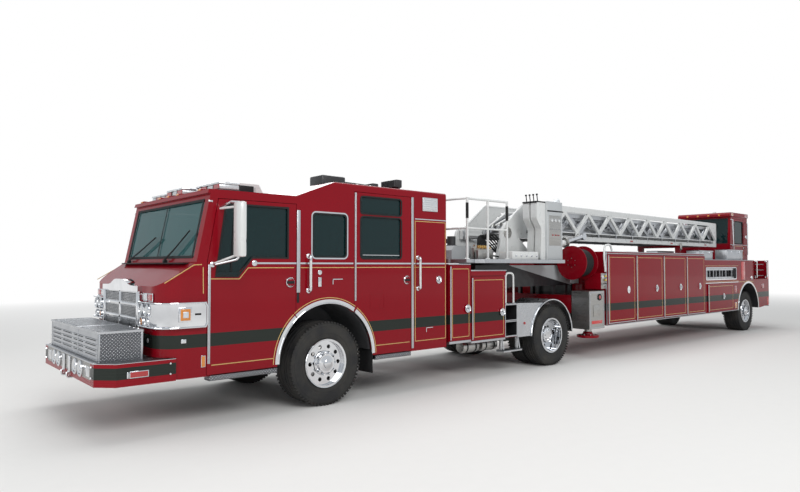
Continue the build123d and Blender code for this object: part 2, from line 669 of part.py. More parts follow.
# Tractor lockers behind the cab: a narrow and a wide box a side, the steps and the skirt to the fender
Locker = namedtuple("Locker", "name front_x rear_x foot_z head_z")
TRACTOR_LOCKERS = (
    Locker("narrow", CAB_BACK_X + 66, CAB_BACK_X + 551, 620, 1805),
    Locker("wide", CAB_BACK_X + 556, CAB_BACK_X + 1386, 590, 1625),
)
LOCKER_IN_Y = 760
LOCKER_OUT_Y = 1205
LOCKER_WALL = 20
LEAF_SKIN = 22
STEPS_REAR_X = CAB_BACK_X + 1726
FENDER_R = 620
FENDER_Z = 565
with BuildPart() as tractor_boxes:
    for side, _ in SIDES:
        for box in TRACTOR_LOCKERS:
            block((box.front_x, box.rear_x), (side * LOCKER_IN_Y, side * LOCKER_OUT_Y), (box.foot_z, box.head_z))
            block(
                (box.front_x + LOCKER_WALL, box.rear_x - LOCKER_WALL),
                (side * (LOCKER_IN_Y + LOCKER_WALL), side * (LOCKER_OUT_Y + 1)),
                (box.foot_z + LOCKER_WALL, box.head_z - LOCKER_WALL),
                mode=Mode.SUBTRACT,
            )
            block(
                (box.front_x + 100, box.rear_x - 100),
                (side * RAIL_OUT_Y, side * LOCKER_IN_Y),
                (RAIL_BOTTOM + 60, RAIL_BOTTOM + 160),
            )
        wide = TRACTOR_LOCKERS[1]
        block(
            (wide.front_x, wide.rear_x + 20),
            (side * (LOCKER_IN_Y - 10), side * (LOCKER_OUT_Y + 15)),
            (wide.head_z, wide.head_z + 80),
        )
        block((wide.rear_x, STEPS_REAR_X), (side * (LOCKER_OUT_Y - 280), side * LOCKER_OUT_Y), (590, 1150))
        for low, high in ((615, 850), (875, 1130)):
            block(
                (wide.rear_x + 20, STEPS_REAR_X - 20),
                (side * (LOCKER_OUT_Y - 240), side * (LOCKER_OUT_Y + 1)),
                (low, high),
                mode=Mode.SUBTRACT,
            )
        # a hanging step below
        hang_x = wide.rear_x + 30
        for x in (hang_x, hang_x + 420):
            block((x - 20, x + 20), (side * 1080, side * 1110), (370, 600))
        block((hang_x - 30, hang_x + 450), (side * 1030, side * 1190), (345, 370))
        # narrow link between the two lockers
        block(
            (TRACTOR_LOCKERS[0].rear_x - 2, wide.front_x + 2),
            (side * (LOCKER_IN_Y + 20), side * (LOCKER_IN_Y + 80)),
            (800, 1200),
        )
save(tractor_boxes, "tractor_boxes")

for box in TRACTOR_LOCKERS:
    for side, hand in SIDES:
        with BuildPart() as leaf:
            block(
                (box.front_x + 10, box.rear_x - 10),
                (side * (LOCKER_OUT_Y + SEAT), side * (LOCKER_OUT_Y + SEAT + LEAF_SKIN)),
                (box.foot_z + 15, box.head_z - 15),
            )
            latch_x = box.rear_x - 100
            latch_z = box.foot_z + (box.head_z - box.foot_z) * 0.42
            rod(
                (latch_x, side * (LOCKER_OUT_Y + LEAF_SKIN), latch_z),
                (latch_x, side * (LOCKER_OUT_Y + LEAF_SKIN + 18), latch_z),
                60,
            )
        save(leaf, f"door_{box.name}_{hand}")

# Drive wheel fenders: a half-round skin over each pair of wheels, run forward to the steps
FENDER_SKIN = 14
FENDER_IN_Y = 585
FENDER_ARM_X = 230
with BuildPart() as tractor_fenders:
    for side, _ in SIDES:
        with BuildSketch(Plane.XZ.offset(-max(side * FENDER_IN_Y, side * (LOCKER_OUT_Y + 15)))) as arch:
            with Locations((DRIVE_AXLE_X, FENDER_Z)):
                Circle(FENDER_R)
                Circle(FENDER_R - FENDER_SKIN, mode=Mode.SUBTRACT)
            with Locations((DRIVE_AXLE_X, FENDER_Z - FENDER_R / 2)):
                Rectangle(3 * FENDER_R, FENDER_R, mode=Mode.SUBTRACT)
        extrude(amount=LOCKER_OUT_Y + 15 - FENDER_IN_Y)
        block(
            (STEPS_REAR_X, DRIVE_AXLE_X - FENDER_R + FENDER_SKIN),
            (side * (LOCKER_OUT_Y - 15), side * LOCKER_OUT_Y),
            (575, FENDER_Z + 60),
        )
        slab(
            (
                (STEPS_REAR_X, 575),
                (DRIVE_AXLE_X - FENDER_R + 2, 575),
                (DRIVE_AXLE_X - FENDER_R * 0.76, FENDER_Z + FENDER_R * 0.64),
                (DRIVE_AXLE_X - FENDER_R * 0.4, FENDER_Z + FENDER_R * 0.91),
                (STEPS_REAR_X, 1150),
            ),
            (side * (LOCKER_OUT_Y - 15), side * LOCKER_OUT_Y),
        )
        # arms from the rail
        for x in (DRIVE_AXLE_X - FENDER_ARM_X, DRIVE_AXLE_X + FENDER_ARM_X):
            top = FENDER_Z + ((FENDER_R - FENDER_SKIN / 2) ** 2 - FENDER_ARM_X ** 2) ** 0.5
            with BuildSketch(Plane.YZ.offset(x - 8)) as gusset:
                Polygon(
                    (side * (RAIL_OUT_Y + SEAT), 850),
                    (side * (RAIL_OUT_Y + SEAT), 950),
                    (side * (FENDER_IN_Y + 15), top),
                    (side * (FENDER_IN_Y + 15), top - 70),
                    align=None,
                )
            extrude(gusset.sketch, amount=16)
save(tractor_fenders, "tractor_fenders")

# On the cab roof: the light bar in three parts, the cooling unit and the folded light mast
with BuildPart() as roof_equipment:
    low_roof = EAVE_Z + ROOF_SKIN
    high_roof = HIGH_EAVE_Z + ROOF_SKIN
    for x, y0, y1 in ((SCREEN_HEAD_X + 60, -260, 260), (SCREEN_HEAD_X + 160, -1090, -420), (SCREEN_HEAD_X + 160, 420, 1090)):
        block((x, x + 260), (y0, y1), (low_roof, low_roof + 110))
    slab(
        (
            (SCREEN_HEAD_X + 480, low_roof),
            (SCREEN_HEAD_X + 520, low_roof + 190),
            (SCREEN_HEAD_X + 1000, low_roof + 190),
            (SCREEN_HEAD_X + 1080, low_roof),
        ),
        (-520, 520),
    )
    mast_x = ROOF_STEP_X + ROOF_RISE + 350
    block((mast_x, mast_x + 1500), (-340, 60), (high_roof, high_roof + 60))
    block((mast_x + 60, mast_x + 460), (-300, 20), (high_roof + 60, high_roof + 230))
    rod((mast_x + 460, -140, high_roof + 130), (mast_x + 1300, -140, high_roof + 130), 35)
    block((mast_x + 1280, mast_x + 1400), (-200, -80), (high_roof + 60, high_roof + 170))
save(roof_equipment, "roof_equipment")

# Trailer chassis: the high neck over the tractor, its drop, the rails, and the tiller axle beam
TRAILER_RAIL_END_X = REAR_X - 60
with BuildPart() as trailer_frame:
    neck = (
        (NECK_FRONT_X, NECK_BOTTOM),
        (BODY_FRONT_X, NECK_BOTTOM),
        (BODY_FRONT_X, 640),
        (BODY_FRONT_X + 700, 640),
        (BODY_FRONT_X + 900, NECK_TOP),
        (NECK_FRONT_X, NECK_TOP),
    )
    for side, _ in SIDES:
        slab(neck, (side * (NECK_HALF - 80), side * NECK_HALF))
    block((NECK_FRONT_X, BODY_FRONT_X), (-NECK_HALF, NECK_HALF), (NECK_BOTTOM, NECK_BOTTOM + 40))
    block((NECK_FRONT_X, BODY_FRONT_X + 700), (-NECK_HALF, NECK_HALF), (NECK_TOP - 40, NECK_TOP))
    block((BODY_FRONT_X, BODY_FRONT_X + 60), (-NECK_HALF, NECK_HALF), (640, NECK_TOP))
    # slewing ring under the turntable
    rod((KING_X, 0, NECK_TOP), (KING_X, 0, DECK_Z - SEAT), SLEW_R)
    rails(
        BODY_FRONT_X + 60,
        TRAILER_RAIL_END_X,
        RAIL_BOTTOM,
        RAIL_TOP,
        [BODY_FRONT_X + 1100 + 1500 * n for n in range(5)],
    )
    dead_axle(TILLER_AXLE_X)
    # hangers for the outrigger box
    for x in (JACK_FRONT_X + 60, JACK_REAR_X - 60):
        for side, _ in SIDES:
            block((x - 40, x + 40), (side * 380, side * 440), (OUTRIGGER_BOX_TOP, NECK_BOTTOM))
save(trailer_frame, "trailer_frame")

# Trailer body: a long locker box a side, open behind its doors, joined by the deck
Bay = namedtuple("Bay", "name front_x rear_x foot_z head_z")
BAYS = tuple(
    Bay(f"bay_{n + 1}", BODY_FRONT_X + start, BODY_FRONT_X + end, 650, BODY_TOP - 75)
    for n, (start, end) in enumerate(((0, 1120), (1120, 2330), (2330, 3470), (3470, 4490)))
)
LOW_BAY = Bay("low", REAR_BODY_X + 150, TILLER_AXLE_X - 1040, 640, 1300)
REAR_ARCH_R = 712
BAY_OPENING_IN = 45
REEL_R = 325
REEL_DRUM_R = 235
REEL_SHAFT_R = 45
REEL_FLANGE = 16
REEL_Y = -870
REEL_Z = 1840
REEL_FRONT_X = BODY_FRONT_X - 605
REEL_REAR_X = BODY_FRONT_X - 200
with BuildPart() as trailer_body:
    for side, _ in SIDES:
        slab(
            (
                (BODY_FRONT_X, BODY_BOTTOM),
                (TILLER_AXLE_X + 900, BODY_BOTTOM),
                (REAR_X, BODY_BOTTOM + 60),
                (REAR_X, REAR_DECK_Z),
                (REAR_BODY_X, REAR_DECK_Z),
                (REAR_BODY_X, BODY_TOP),
                (BODY_FRONT_X, BODY_TOP),
            ),
            (side * BODY_CORE_Y, side * TRAILER_HALF),
        )
        for bay in BAYS + (LOW_BAY,):
            block(
                (bay.front_x + BAY_OPENING_IN, bay.rear_x - BAY_OPENING_IN),
                (side * (BODY_CORE_Y + BODY_WALL), side * (TRAILER_HALF + 1)),
                (bay.foot_z, bay.head_z),
                mode=Mode.SUBTRACT,
            )
        # recess for the side ladders above the low locker
        block(
            (REAR_BODY_X + 115, TILLER_AXLE_X - 825),
            (side * (TRAILER_HALF - 360), side * (TRAILER_HALF + 1)),
            (1440, 1715),
            mode=Mode.SUBTRACT,
        )
        # climbing recess beside the rear cab
        block(
            (TILLER_AXLE_X + 420, REAR_X - 150),
            (side * (TRAILER_HALF - 260), side * (TRAILER_HALF + 1)),
            (1400, REAR_DECK_Z + 1),
            mode=Mode.SUBTRACT,
        )
        rod(
            (TILLER_AXLE_X, side * (BODY_CORE_Y - 5), ARCH_Z),
            (TILLER_AXLE_X, side * (TRAILER_HALF + 5), ARCH_Z),
            REAR_ARCH_R,
            mode=Mode.SUBTRACT,
        )
    block((BODY_FRONT_X + 905, REAR_X), (-BODY_CORE_Y, BODY_CORE_Y), (REAR_DECK_Z - 30, REAR_DECK_Z))
    block((REAR_X - 60, REAR_X), (-BODY_CORE_Y, BODY_CORE_Y), (RAIL_TOP + 10, REAR_DECK_Z))
    # rear step
    block((REAR_X - 160, REAR_X), (-BODY_CORE_Y, BODY_CORE_Y), (RAIL_BOTTOM - 60, RAIL_BOTTOM - 20))
    # cradle under the ladder
    for side, _ in SIDES:
        block((CRADLE_X - 50, CRADLE_X + 50), (side * 440, side * 560), (REAR_DECK_Z, LADDER_BOTTOM - SEAT - 60))
    block((CRADLE_X - 60, CRADLE_X + 60), (-560, 560), (LADDER_BOTTOM - SEAT - 60, LADDER_BOTTOM - SEAT))
    # control panels ahead of the body, above the outriggers
    for side, _ in SIDES:
        block((BODY_FRONT_X - 185, BODY_FRONT_X), (side * 900, side * 1250), (1320, 1640))
    # cable reel on a shaft from the left body's front: a drum between two flanges
    rod((REEL_FRONT_X - 20, REEL_Y, REEL_Z), (BODY_FRONT_X, REEL_Y, REEL_Z), REEL_SHAFT_R)
    rod((REEL_FRONT_X, REEL_Y, REEL_Z), (REEL_REAR_X, REEL_Y, REEL_Z), REEL_DRUM_R)
    for x in (REEL_FRONT_X, REEL_REAR_X - REEL_FLANGE):
        rod((x, REEL_Y, REEL_Z), (x + REEL_FLANGE, REEL_Y, REEL_Z), REEL_R)
save(trailer_body, "trailer_body")

# Side ladders in their recesses: two rails and rungs, laid on edge
with BuildPart() as side_ladders:
    for side, _ in SIDES:
        for y in (TRAILER_HALF - 60, TRAILER_HALF - 150, TRAILER_HALF - 240):
            front, rear = REAR_BODY_X + 125, TILLER_AXLE_X - 835
            for z in (1440, 1660):
                block((front, rear), (side * (y - 18), side * (y + 18)), (z, z + 50))
            for n in range(5):
                x = front + 150 + n * (rear - front - 300) / 4
                block((x - 16, x + 16), (side * (y - 14), side * (y + 14)), (1490, 1660))
save(side_ladders, "side_ladders")

# Locker doors of the trailer, hinged along their front edges
DOOR_SKIN = 24
DOOR_LAP = 15
for bay in BAYS + (LOW_BAY,):
    for side, hand in SIDES:
        with BuildPart() as leaf:
            block(
                (bay.front_x + DOOR_LAP, bay.rear_x - DOOR_LAP),
                (side * (TRAILER_HALF + SEAT), side * (TRAILER_HALF + SEAT + DOOR_SKIN)),
                (bay.foot_z - 20, bay.head_z + 20),
            )
            latch_x = bay.rear_x - 330 if bay is not LOW_BAY else (bay.front_x + bay.rear_x) / 2 + 120
            latch_z = 1290 if bay is not LOW_BAY else 1000
            with BuildSketch(Plane(origin=(latch_x, side * (TRAILER_HALF + DOOR_SKIN), latch_z),
                                   x_dir=(1, 0, 0), z_dir=(0, side, 0))):
                Ellipse(55, 75)
            extrude(amount=16)
        save(leaf, f"door_{bay.name}_{hand}")

# Outriggers: a fixed box under the neck, a sliding beam with its jack housing a side, and the jack legs
Beam = namedtuple("Beam", "side hand front_x")
BEAM_WIDTH = 210
BEAM_FOOT = 900
BEAM_HEAD = 1140
TUNNEL_GAP = 8
BEAMS = (Beam(-1, "left", JACK_FRONT_X + 40), Beam(1, "right", JACK_REAR_X - 40 - BEAM_WIDTH))
with BuildPart() as outrigger_box:
    block((JACK_FRONT_X, JACK_REAR_X), (-JACK_IN_Y + 20, JACK_IN_Y - 20), (BEAM_FOOT - 40, OUTRIGGER_BOX_TOP))
    for beam in BEAMS:
        block(
            (beam.front_x - TUNNEL_GAP, beam.front_x + BEAM_WIDTH + TUNNEL_GAP),
            (-JACK_IN_Y, JACK_IN_Y),
            (BEAM_FOOT - SEAT, BEAM_HEAD + TUNNEL_GAP),
            mode=Mode.SUBTRACT,
        )
save(outrigger_box, "outrigger_box")

JACK_HOUSE_FOOT = 560
JACK_HOUSE_HEAD = 1290
LEG_R = 70
LEG_Y = 1060
FOOT_R = 205
LEG_X = (JACK_FRONT_X + JACK_REAR_X) / 2
for beam in BEAMS:
    with BuildPart() as outrigger:
        block(
            (beam.front_x, beam.front_x + BEAM_WIDTH),
            (beam.side * JACK_IN_Y, -beam.side * (JACK_IN_Y - 60)),
            (BEAM_FOOT, BEAM_HEAD),
        )
        block(
            (JACK_FRONT_X, JACK_REAR_X),
            (beam.side * JACK_IN_Y, beam.side * (TRAILER_HALF - 5)),
            (JACK_HOUSE_FOOT, JACK_HOUSE_HEAD),
        )
        rod(
            (LEG_X, beam.side * LEG_Y, JACK_HOUSE_FOOT - 1),
            (LEG_X, beam.side * LEG_Y, JACK_HOUSE_HEAD - 60),
            LEG_R + SEAT,
            mode=Mode.SUBTRACT,
        )
    save(outrigger, f"outrigger_{beam.hand}")
    with BuildPart() as leg:
        rod((LEG_X, beam.side * LEG_Y, FOOT_Z), (LEG_X, beam.side * LEG_Y, JACK_HOUSE_HEAD - 80), LEG_R)
        rod((LEG_X, beam.side * LEG_Y, FOOT_Z), (LEG_X, beam.side * LEG_Y, FOOT_Z + 40), FOOT_R)
    save(leg, f"jack_leg_{beam.hand}")

# Rear cab for the tiller driver: a shell on the rear deck with windows all round and a doorway a side
TILLER_HALF = 720
TILLER_FRONT_X = TILLER_AXLE_X + 330
TILLER_REAR_X = REAR_X - 25
TILLER_WALL = 45
TILLER_HEAD = 3190
TILLER_DOOR = Door("tiller", TILLER_FRONT_X + 170, TILLER_REAR_X - 260, TILLER_HEAD - 60, 0)
TILLER_WINDOW_FOOT = 2400
with BuildPart() as tiller_cab:
    shell = (
        (TILLER_FRONT_X, REAR_DECK_Z),
        (TILLER_REAR_X, REAR_DECK_Z),
        (TILLER_REAR_X, TILLER_HEAD),
        (TILLER_FRONT_X, TILLER_HEAD),
        (TILLER_FRONT_X - 60, TILLER_WINDOW_FOOT),
    )
    slab(shell, (-TILLER_HALF, TILLER_HALF))
    slab(
        (
            (TILLER_FRONT_X + TILLER_WALL, REAR_DECK_Z + 30),
            (TILLER_REAR_X - TILLER_WALL, REAR_DECK_Z + 30),
            (TILLER_REAR_X - TILLER_WALL, TILLER_HEAD + 5),
            (TILLER_FRONT_X + TILLER_WALL, TILLER_HEAD + 5),
            (TILLER_FRONT_X - 60 + TILLER_WALL, TILLER_WINDOW_FOOT),
        ),
        (-TILLER_HALF + TILLER_WALL, TILLER_HALF - TILLER_WALL),
        mode=Mode.SUBTRACT,
    )
    block(
        (TILLER_FRONT_X - 100, TILLER_FRONT_X + TILLER_WALL + 20),
        (-TILLER_HALF + 70, TILLER_HALF - 70),
        (TILLER_WINDOW_FOOT + 10, TILLER_HEAD - 50),
        mode=Mode.SUBTRACT,
    )
    block(
        (TILLER_REAR_X - TILLER_WALL - 5, TILLER_REAR_X + 5),
        (-TILLER_HALF + 120, TILLER_HALF - 120),
        (TILLER_WINDOW_FOOT + 60, TILLER_HEAD - 120),
        mode=Mode.SUBTRACT,
    )
    for side, _ in SIDES:
        block(
            (TILLER_DOOR.hinge_x, TILLER_DOOR.rear_x),
            (side * (TILLER_HALF - TILLER_WALL - 5), side * (TILLER_HALF + 5)),
            (REAR_DECK_Z + 30, TILLER_DOOR.head_z),
            mode=Mode.SUBTRACT,
        )
        for z in (REAR_DECK_Z + 150, TILLER_WINDOW_FOOT, TILLER_DOOR.head_z - 200):
            block(
                (TILLER_DOOR.hinge_x - 1, TILLER_DOOR.hinge_x + GAP - SEAT),
                (side * (TILLER_HALF - 36), side * (TILLER_HALF - 8)),
                (z, z + 90),
            )
    # roof with a shade over the front
    slab(
        (
            (TILLER_FRONT_X - 110, TILLER_HEAD),
            (TILLER_REAR_X, TILLER_HEAD),
            (TILLER_REAR_X, TILLER_HEAD + 110),
            (TILLER_FRONT_X - 60, TILLER_HEAD + 110),
            (TILLER_FRONT_X - 110, TILLER_HEAD + 60),
        ),
        (-TILLER_HALF - 20, TILLER_HALF + 20),
    )
    # seat, column and steering wheel inside
    block((TILLER_FRONT_X + 520, TILLER_FRONT_X + 960), (-230, 230), (REAR_DECK_Z + 30, REAR_DECK_Z + 500))
    block((TILLER_FRONT_X + 860, TILLER_FRONT_X + 980), (-230, 230), (REAR_DECK_Z + 500, REAR_DECK_Z + 1080))
    rod((TILLER_FRONT_X + 150, 0, REAR_DECK_Z + 30), (TILLER_FRONT_X + 260, 0, REAR_DECK_Z + 700), 30)
    with BuildSketch(Plane(origin=(TILLER_FRONT_X + 260, 0, REAR_DECK_Z + 700), z_dir=(0.16, 0, 0.98))):
        Circle(210)
        Circle(182, mode=Mode.SUBTRACT)
        Rectangle(380, 36)
        Rectangle(36, 380)
    extrude(amount=24)
save(tiller_cab, "tiller_cab")

with BuildPart() as tiller_glass:
    lean = 60 / (TILLER_HEAD - TILLER_WINDOW_FOOT)
    low, high = TILLER_WINDOW_FOOT + 10, TILLER_HEAD - 50
    front_at = lambda z: TILLER_FRONT_X - 60 + (z - TILLER_WINDOW_FOOT) * lean + 15
    slab(
        ((front_at(low), low), (front_at(low) + GLASS, low), (front_at(high) + GLASS, high), (front_at(high), high)),
        (-TILLER_HALF + 70, TILLER_HALF - 70),
    )
    block(
        (TILLER_REAR_X - 24, TILLER_REAR_X - 24 + GLASS),
        (-TILLER_HALF + 120, TILLER_HALF - 120),
        (TILLER_WINDOW_FOOT + 60, TILLER_HEAD - 120),
    )
save(tiller_glass, "tiller_glass")

for side, hand in SIDES:
    with BuildPart() as leaf:
        block(
            (TILLER_DOOR.hinge_x + GAP, TILLER_DOOR.rear_x - GAP),
            (side * TILLER_HALF, side * (TILLER_HALF - TILLER_WALL + 6)),
            (REAR_DECK_Z + 30 + GAP, TILLER_DOOR.head_z - GAP),
        )
        block(
            (TILLER_DOOR.hinge_x + 80, TILLER_DOOR.rear_x - 80),
            (side * (TILLER_HALF + 5), side * (TILLER_HALF - TILLER_WALL)),
            (TILLER_WINDOW_FOOT + 20, TILLER_DOOR.head_z - 80),
            mode=Mode.SUBTRACT,
        )
        block(
            (TILLER_DOOR.rear_x - 70, TILLER_DOOR.rear_x - 30),
            (side * TILLER_HALF, side * (TILLER_HALF + 20)),
            (TILLER_WINDOW_FOOT - 160, TILLER_WINDOW_FOOT - 60),
        )
    with BuildPart() as pane:
        block(
            (TILLER_DOOR.hinge_x + 80, TILLER_DOOR.rear_x - 80),
            (side * (TILLER_HALF - 15), side * (TILLER_HALF - 15 - GLASS)),
            (TILLER_WINDOW_FOOT + 20, TILLER_DOOR.head_z - 80),
        )
    with BuildPart() as whole:
        add(leaf.part)
        add(pane.part)
    save(whole, f"door_tiller_{hand}")

# Turntable: the deck, the turret side plates with their pivot pins, the console and the guard rails
with BuildPart() as turntable:
    with BuildSketch(Plane.XY.offset(DECK_Z)):
        Polygon(
            (KING_X - 1700, -700), (KING_X - 1350, -1200), (KING_X + 870, -1200), (KING_X + 1200, -700),
            (KING_X + 1200, 700), (KING_X + 870, 1200), (KING_X - 1350, 1200), (KING_X - 1700, 700),
            align=None,
        )
    extrude(amount=DECK_TOP - DECK_Z)
    for side, _ in SIDES:
        slab(
            (
                (PIVOT_X - 300, DECK_TOP),
                (PIVOT_X + 850, DECK_TOP),
                (PIVOT_X + 150, PIVOT_Z + 60),
                (PIVOT_X + 60, PIVOT_Z + 130),
                (PIVOT_X - 60, PIVOT_Z + 130),
                (PIVOT_X - 120, PIVOT_Z + 60),
            ),
            (side * TURRET_IN_Y, side * (TURRET_IN_Y + 55)),
        )
        rod((PIVOT_X, side * (LADDER_HALF - 70), PIVOT_Z), (PIVOT_X, side * (TURRET_IN_Y + 60), PIVOT_Z), PIN_R)
        # foot bracket of the lift cylinder: an ear each side of the barrel's eye
        for y in (LIFT_Y - BARREL_R - 22, LIFT_Y + BARREL_R + 4):
            slab(
                (
                    (LIFT_FOOT_X - 90, DECK_TOP),
                    (LIFT_FOOT_X + 90, DECK_TOP),
                    (LIFT_FOOT_X + 45, LIFT_FOOT_Z + 45),
                    (LIFT_FOOT_X - 45, LIFT_FOOT_Z + 45),
                ),
                (side * y, side * (y + 18)),
            )
        rod(
            (LIFT_FOOT_X, side * (LIFT_Y - BARREL_R - 22), LIFT_FOOT_Z),
            (LIFT_FOOT_X, side * (LIFT_Y + BARREL_R + 22), LIFT_FOOT_Z),
            LIFT_PIN_R,
        )
        # guard frame at the front edge
        for x in (KING_X - 1600, KING_X - 1100, KING_X - 600):
            rod((x, side * 1040, DECK_TOP), (x, side * 1040, DECK_TOP + 1000), 20)
        rod((KING_X - 1600, side * 1040, DECK_TOP + 980), (KING_X - 600, side * 1040, DECK_TOP + 980), 20)
        rod((KING_X - 1600, side * 1040, DECK_TOP + 500), (KING_X - 600, side * 1040, DECK_TOP + 500), 16)
    block((KING_X + 400, KING_X + 870), (-1150, -790), (DECK_TOP, DECK_TOP + 1060))
    block((KING_X + 400, KING_X + 870), (790, 1150), (DECK_TOP, DECK_TOP + 420))
save(turntable, "turntable")

# Ladder: four nested truss sections, each a pair of sides joined by its rungs
Section = namedtuple("Section", "name heel_x tip_x half rail bottom rail_height top chord bays")
SECTIONS = (
    Section("base", PIVOT_X - 60, LADDER_TIP_X, LADDER_HALF, 80, LADDER_BOTTOM, 170, 2990, 70, 10),
    Section("lower_mid", PIVOT_X + 500, LADDER_TIP_X - 90, LADDER_HALF - 100, 60, LADDER_BOTTOM + 85, 110, 2880, 55, 11),
    Section("upper_mid", PIVOT_X + 620, LADDER_TIP_X - 500, LADDER_HALF - 180, 50, LADDER_BOTTOM + 150, 90, 2830, 50, 12),
    Section("fly", PIVOT_X + 740, LADDER_TIP_X - 860, LADDER_HALF - 250, 45, LADDER_BOTTOM + 205, 75, 2780, 45, 12),
)
LEDGE = 30
LEDGE_SKIN = 16
for index, part in enumerate(SECTIONS):
    with BuildPart() as section:
        for side, _ in SIDES:
            outer, inner = side * part.half, side * (part.half - part.rail)
            web_inner = side * (part.half - part.rail * 0.55)
            block((part.heel_x, part.tip_x), (inner, outer), (part.bottom, part.bottom + part.rail_height))
            span_front = part.heel_x + 700
            # the truss side: one plate with a triangle cut between each pair of diagonals
            with BuildSketch(Plane.XZ.offset(-max(outer, web_inner))) as side_plate:
                Polygon(
                    (part.heel_x, part.bottom + part.rail_height - 1),
                    (part.tip_x, part.bottom + part.rail_height - 1),
                    (part.tip_x, part.top - 40),
                    (span_front, part.top),
                    align=None,
                )
                foot = part.bottom + part.rail_height
                head = part.top - part.chord - 40
                step = (part.tip_x - span_front) / part.bays
                bar = TRUSS_BAR
                for n in range(part.bays):
                    x = span_front + n * step
                    Polygon(
                        (x + bar, foot), (x + step - bar, foot), (x + step / 2, head - bar * 1.2),
                        align=None, mode=Mode.SUBTRACT,
                    )
                    if n < part.bays - 1:
                        Polygon(
                            (x + step / 2 + bar, head), (x + 3 * step / 2 - bar, head),
                            (x + step, foot + bar * 1.2),
                            align=None, mode=Mode.SUBTRACT,
                        )
            extrude(amount=abs(outer - web_inner))
            if index < 3:
                block(
                    (part.heel_x, part.tip_x),
                    (inner, side * (part.half - part.rail - LEDGE)),
                    (SECTIONS[index + 1].bottom - SEAT - LEDGE_SKIN, SECTIONS[index + 1].bottom - SEAT),
                )
        count = int((part.tip_x - part.heel_x - 300) / RUNG_STEP)
        for n in range(count + 1):
            x = part.heel_x + 150 + n * RUNG_STEP
            low = part.bottom + 6
            block((x - RUNG / 2, x + RUNG / 2), (-part.half + part.rail, part.half - part.rail), (low, low + RUNG))
        if index == 0:
            rod((PIVOT_X, -LADDER_HALF - 5, PIVOT_Z), (PIVOT_X, LADDER_HALF + 5, PIVOT_Z), PIN_R + SEAT, mode=Mode.SUBTRACT)
            for side, _ in SIDES:
                rod((LIFT_EYE_X, side * LADDER_HALF, PIVOT_Z), (LIFT_EYE_X, side * (LIFT_Y - 45), PIVOT_Z), 45)
        if index == 3:
            # the tip's cross plate carries the nozzle
            block(
                (part.tip_x - 130, part.tip_x),
                (-part.half + part.rail, part.half - part.rail),
                (part.bottom + 6, part.bottom + 66),
            )
            rod((part.tip_x - 60, 0, part.bottom + 60), (part.tip_x - 60, 0, part.bottom + 330), 60)
            rod((part.tip_x - 60, 0, part.bottom + 330), (part.tip_x + 110, 0, part.bottom + 400), 45)
    save(section, f"ladder_{part.name}")

# Lift cylinders: a barrel pinned on the turntable and a rod whose eye lies beside the ladder's boss
lift_line = Vector(LIFT_EYE_X - LIFT_FOOT_X, 0, PIVOT_Z - LIFT_FOOT_Z)
lift_dir = lift_line.normalized()


def on_lift(distance, y):
    return (LIFT_FOOT_X + lift_dir.X * distance, y, LIFT_FOOT_Z + lift_dir.Z * distance)


BARREL_LENGTH = 1180
with BuildPart() as lift_barrels:
    for side, _ in SIDES:
        rod(on_lift(0, side * LIFT_Y), on_lift(BARREL_LENGTH, side * LIFT_Y), BARREL_R)
        rod((LIFT_FOOT_X, side * (LIFT_Y - BARREL_R), LIFT_FOOT_Z), (LIFT_FOOT_X, side * (LIFT_Y + BARREL_R), LIFT_FOOT_Z), 66)
        rod(on_lift(140, side * LIFT_Y), on_lift(BARREL_LENGTH + 5, side * LIFT_Y), ROD_R + SEAT, mode=Mode.SUBTRACT)
        rod((LIFT_FOOT_X, side * (LIFT_Y - BARREL_R - 5), LIFT_FOOT_Z), (LIFT_FOOT_X, side * (LIFT_Y + BARREL_R + 5), LIFT_FOOT_Z),
            LIFT_PIN_R + SEAT, mode=Mode.SUBTRACT)
save(lift_barrels, "lift_barrels")

with BuildPart() as lift_rods:
    for side, _ in SIDES:
        rod(on_lift(150, side * LIFT_Y), on_lift(lift_line.length, side * LIFT_Y), ROD_R)
        rod((LIFT_EYE_X, side * (LIFT_Y - 38), PIVOT_Z), (LIFT_EYE_X, side * (LIFT_Y + 38), PIVOT_Z), 70)
save(lift_rods, "lift_rods")
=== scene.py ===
# %% [markdown]
# A tractor-drawn aerial ladder fire engine: a crew-cab tractor, a long locker trailer hinged on it, and a white
# ladder on a turntable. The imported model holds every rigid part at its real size, so this script never moves one:
# it gives each part its finish and adds the trim that sits on it. Everything is in metres, in the model's frame:
# the engine drives towards -X, its left side is at -Y, and the ground is at z = 0.

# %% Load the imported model
import json
from collections import namedtuple
from math import cos, hypot, pi, radians, sin

import bmesh
import bpy
import numpy as np
from mathutils import Matrix, Vector


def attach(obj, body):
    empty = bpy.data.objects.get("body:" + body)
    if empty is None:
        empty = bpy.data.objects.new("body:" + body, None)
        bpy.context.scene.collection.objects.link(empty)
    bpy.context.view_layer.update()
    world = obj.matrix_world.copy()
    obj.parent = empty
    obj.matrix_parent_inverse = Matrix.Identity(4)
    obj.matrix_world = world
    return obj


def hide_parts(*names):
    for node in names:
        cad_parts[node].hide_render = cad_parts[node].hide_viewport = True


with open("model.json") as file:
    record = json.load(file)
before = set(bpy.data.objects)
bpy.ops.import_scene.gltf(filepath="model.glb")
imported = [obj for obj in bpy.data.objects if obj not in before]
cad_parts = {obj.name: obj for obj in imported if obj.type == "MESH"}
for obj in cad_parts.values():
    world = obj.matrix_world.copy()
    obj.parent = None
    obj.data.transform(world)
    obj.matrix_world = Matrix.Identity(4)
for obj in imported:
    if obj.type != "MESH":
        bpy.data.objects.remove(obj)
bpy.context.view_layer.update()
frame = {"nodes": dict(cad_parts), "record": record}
nodes = frame["nodes"]

# %% [markdown]
# The camera stands where the photographer stood: to the left and ahead of the cab at eye height, with a fairly wide
# lens. Its place, heading and lens were solved from the vehicle's known sizes and are written here as real values.

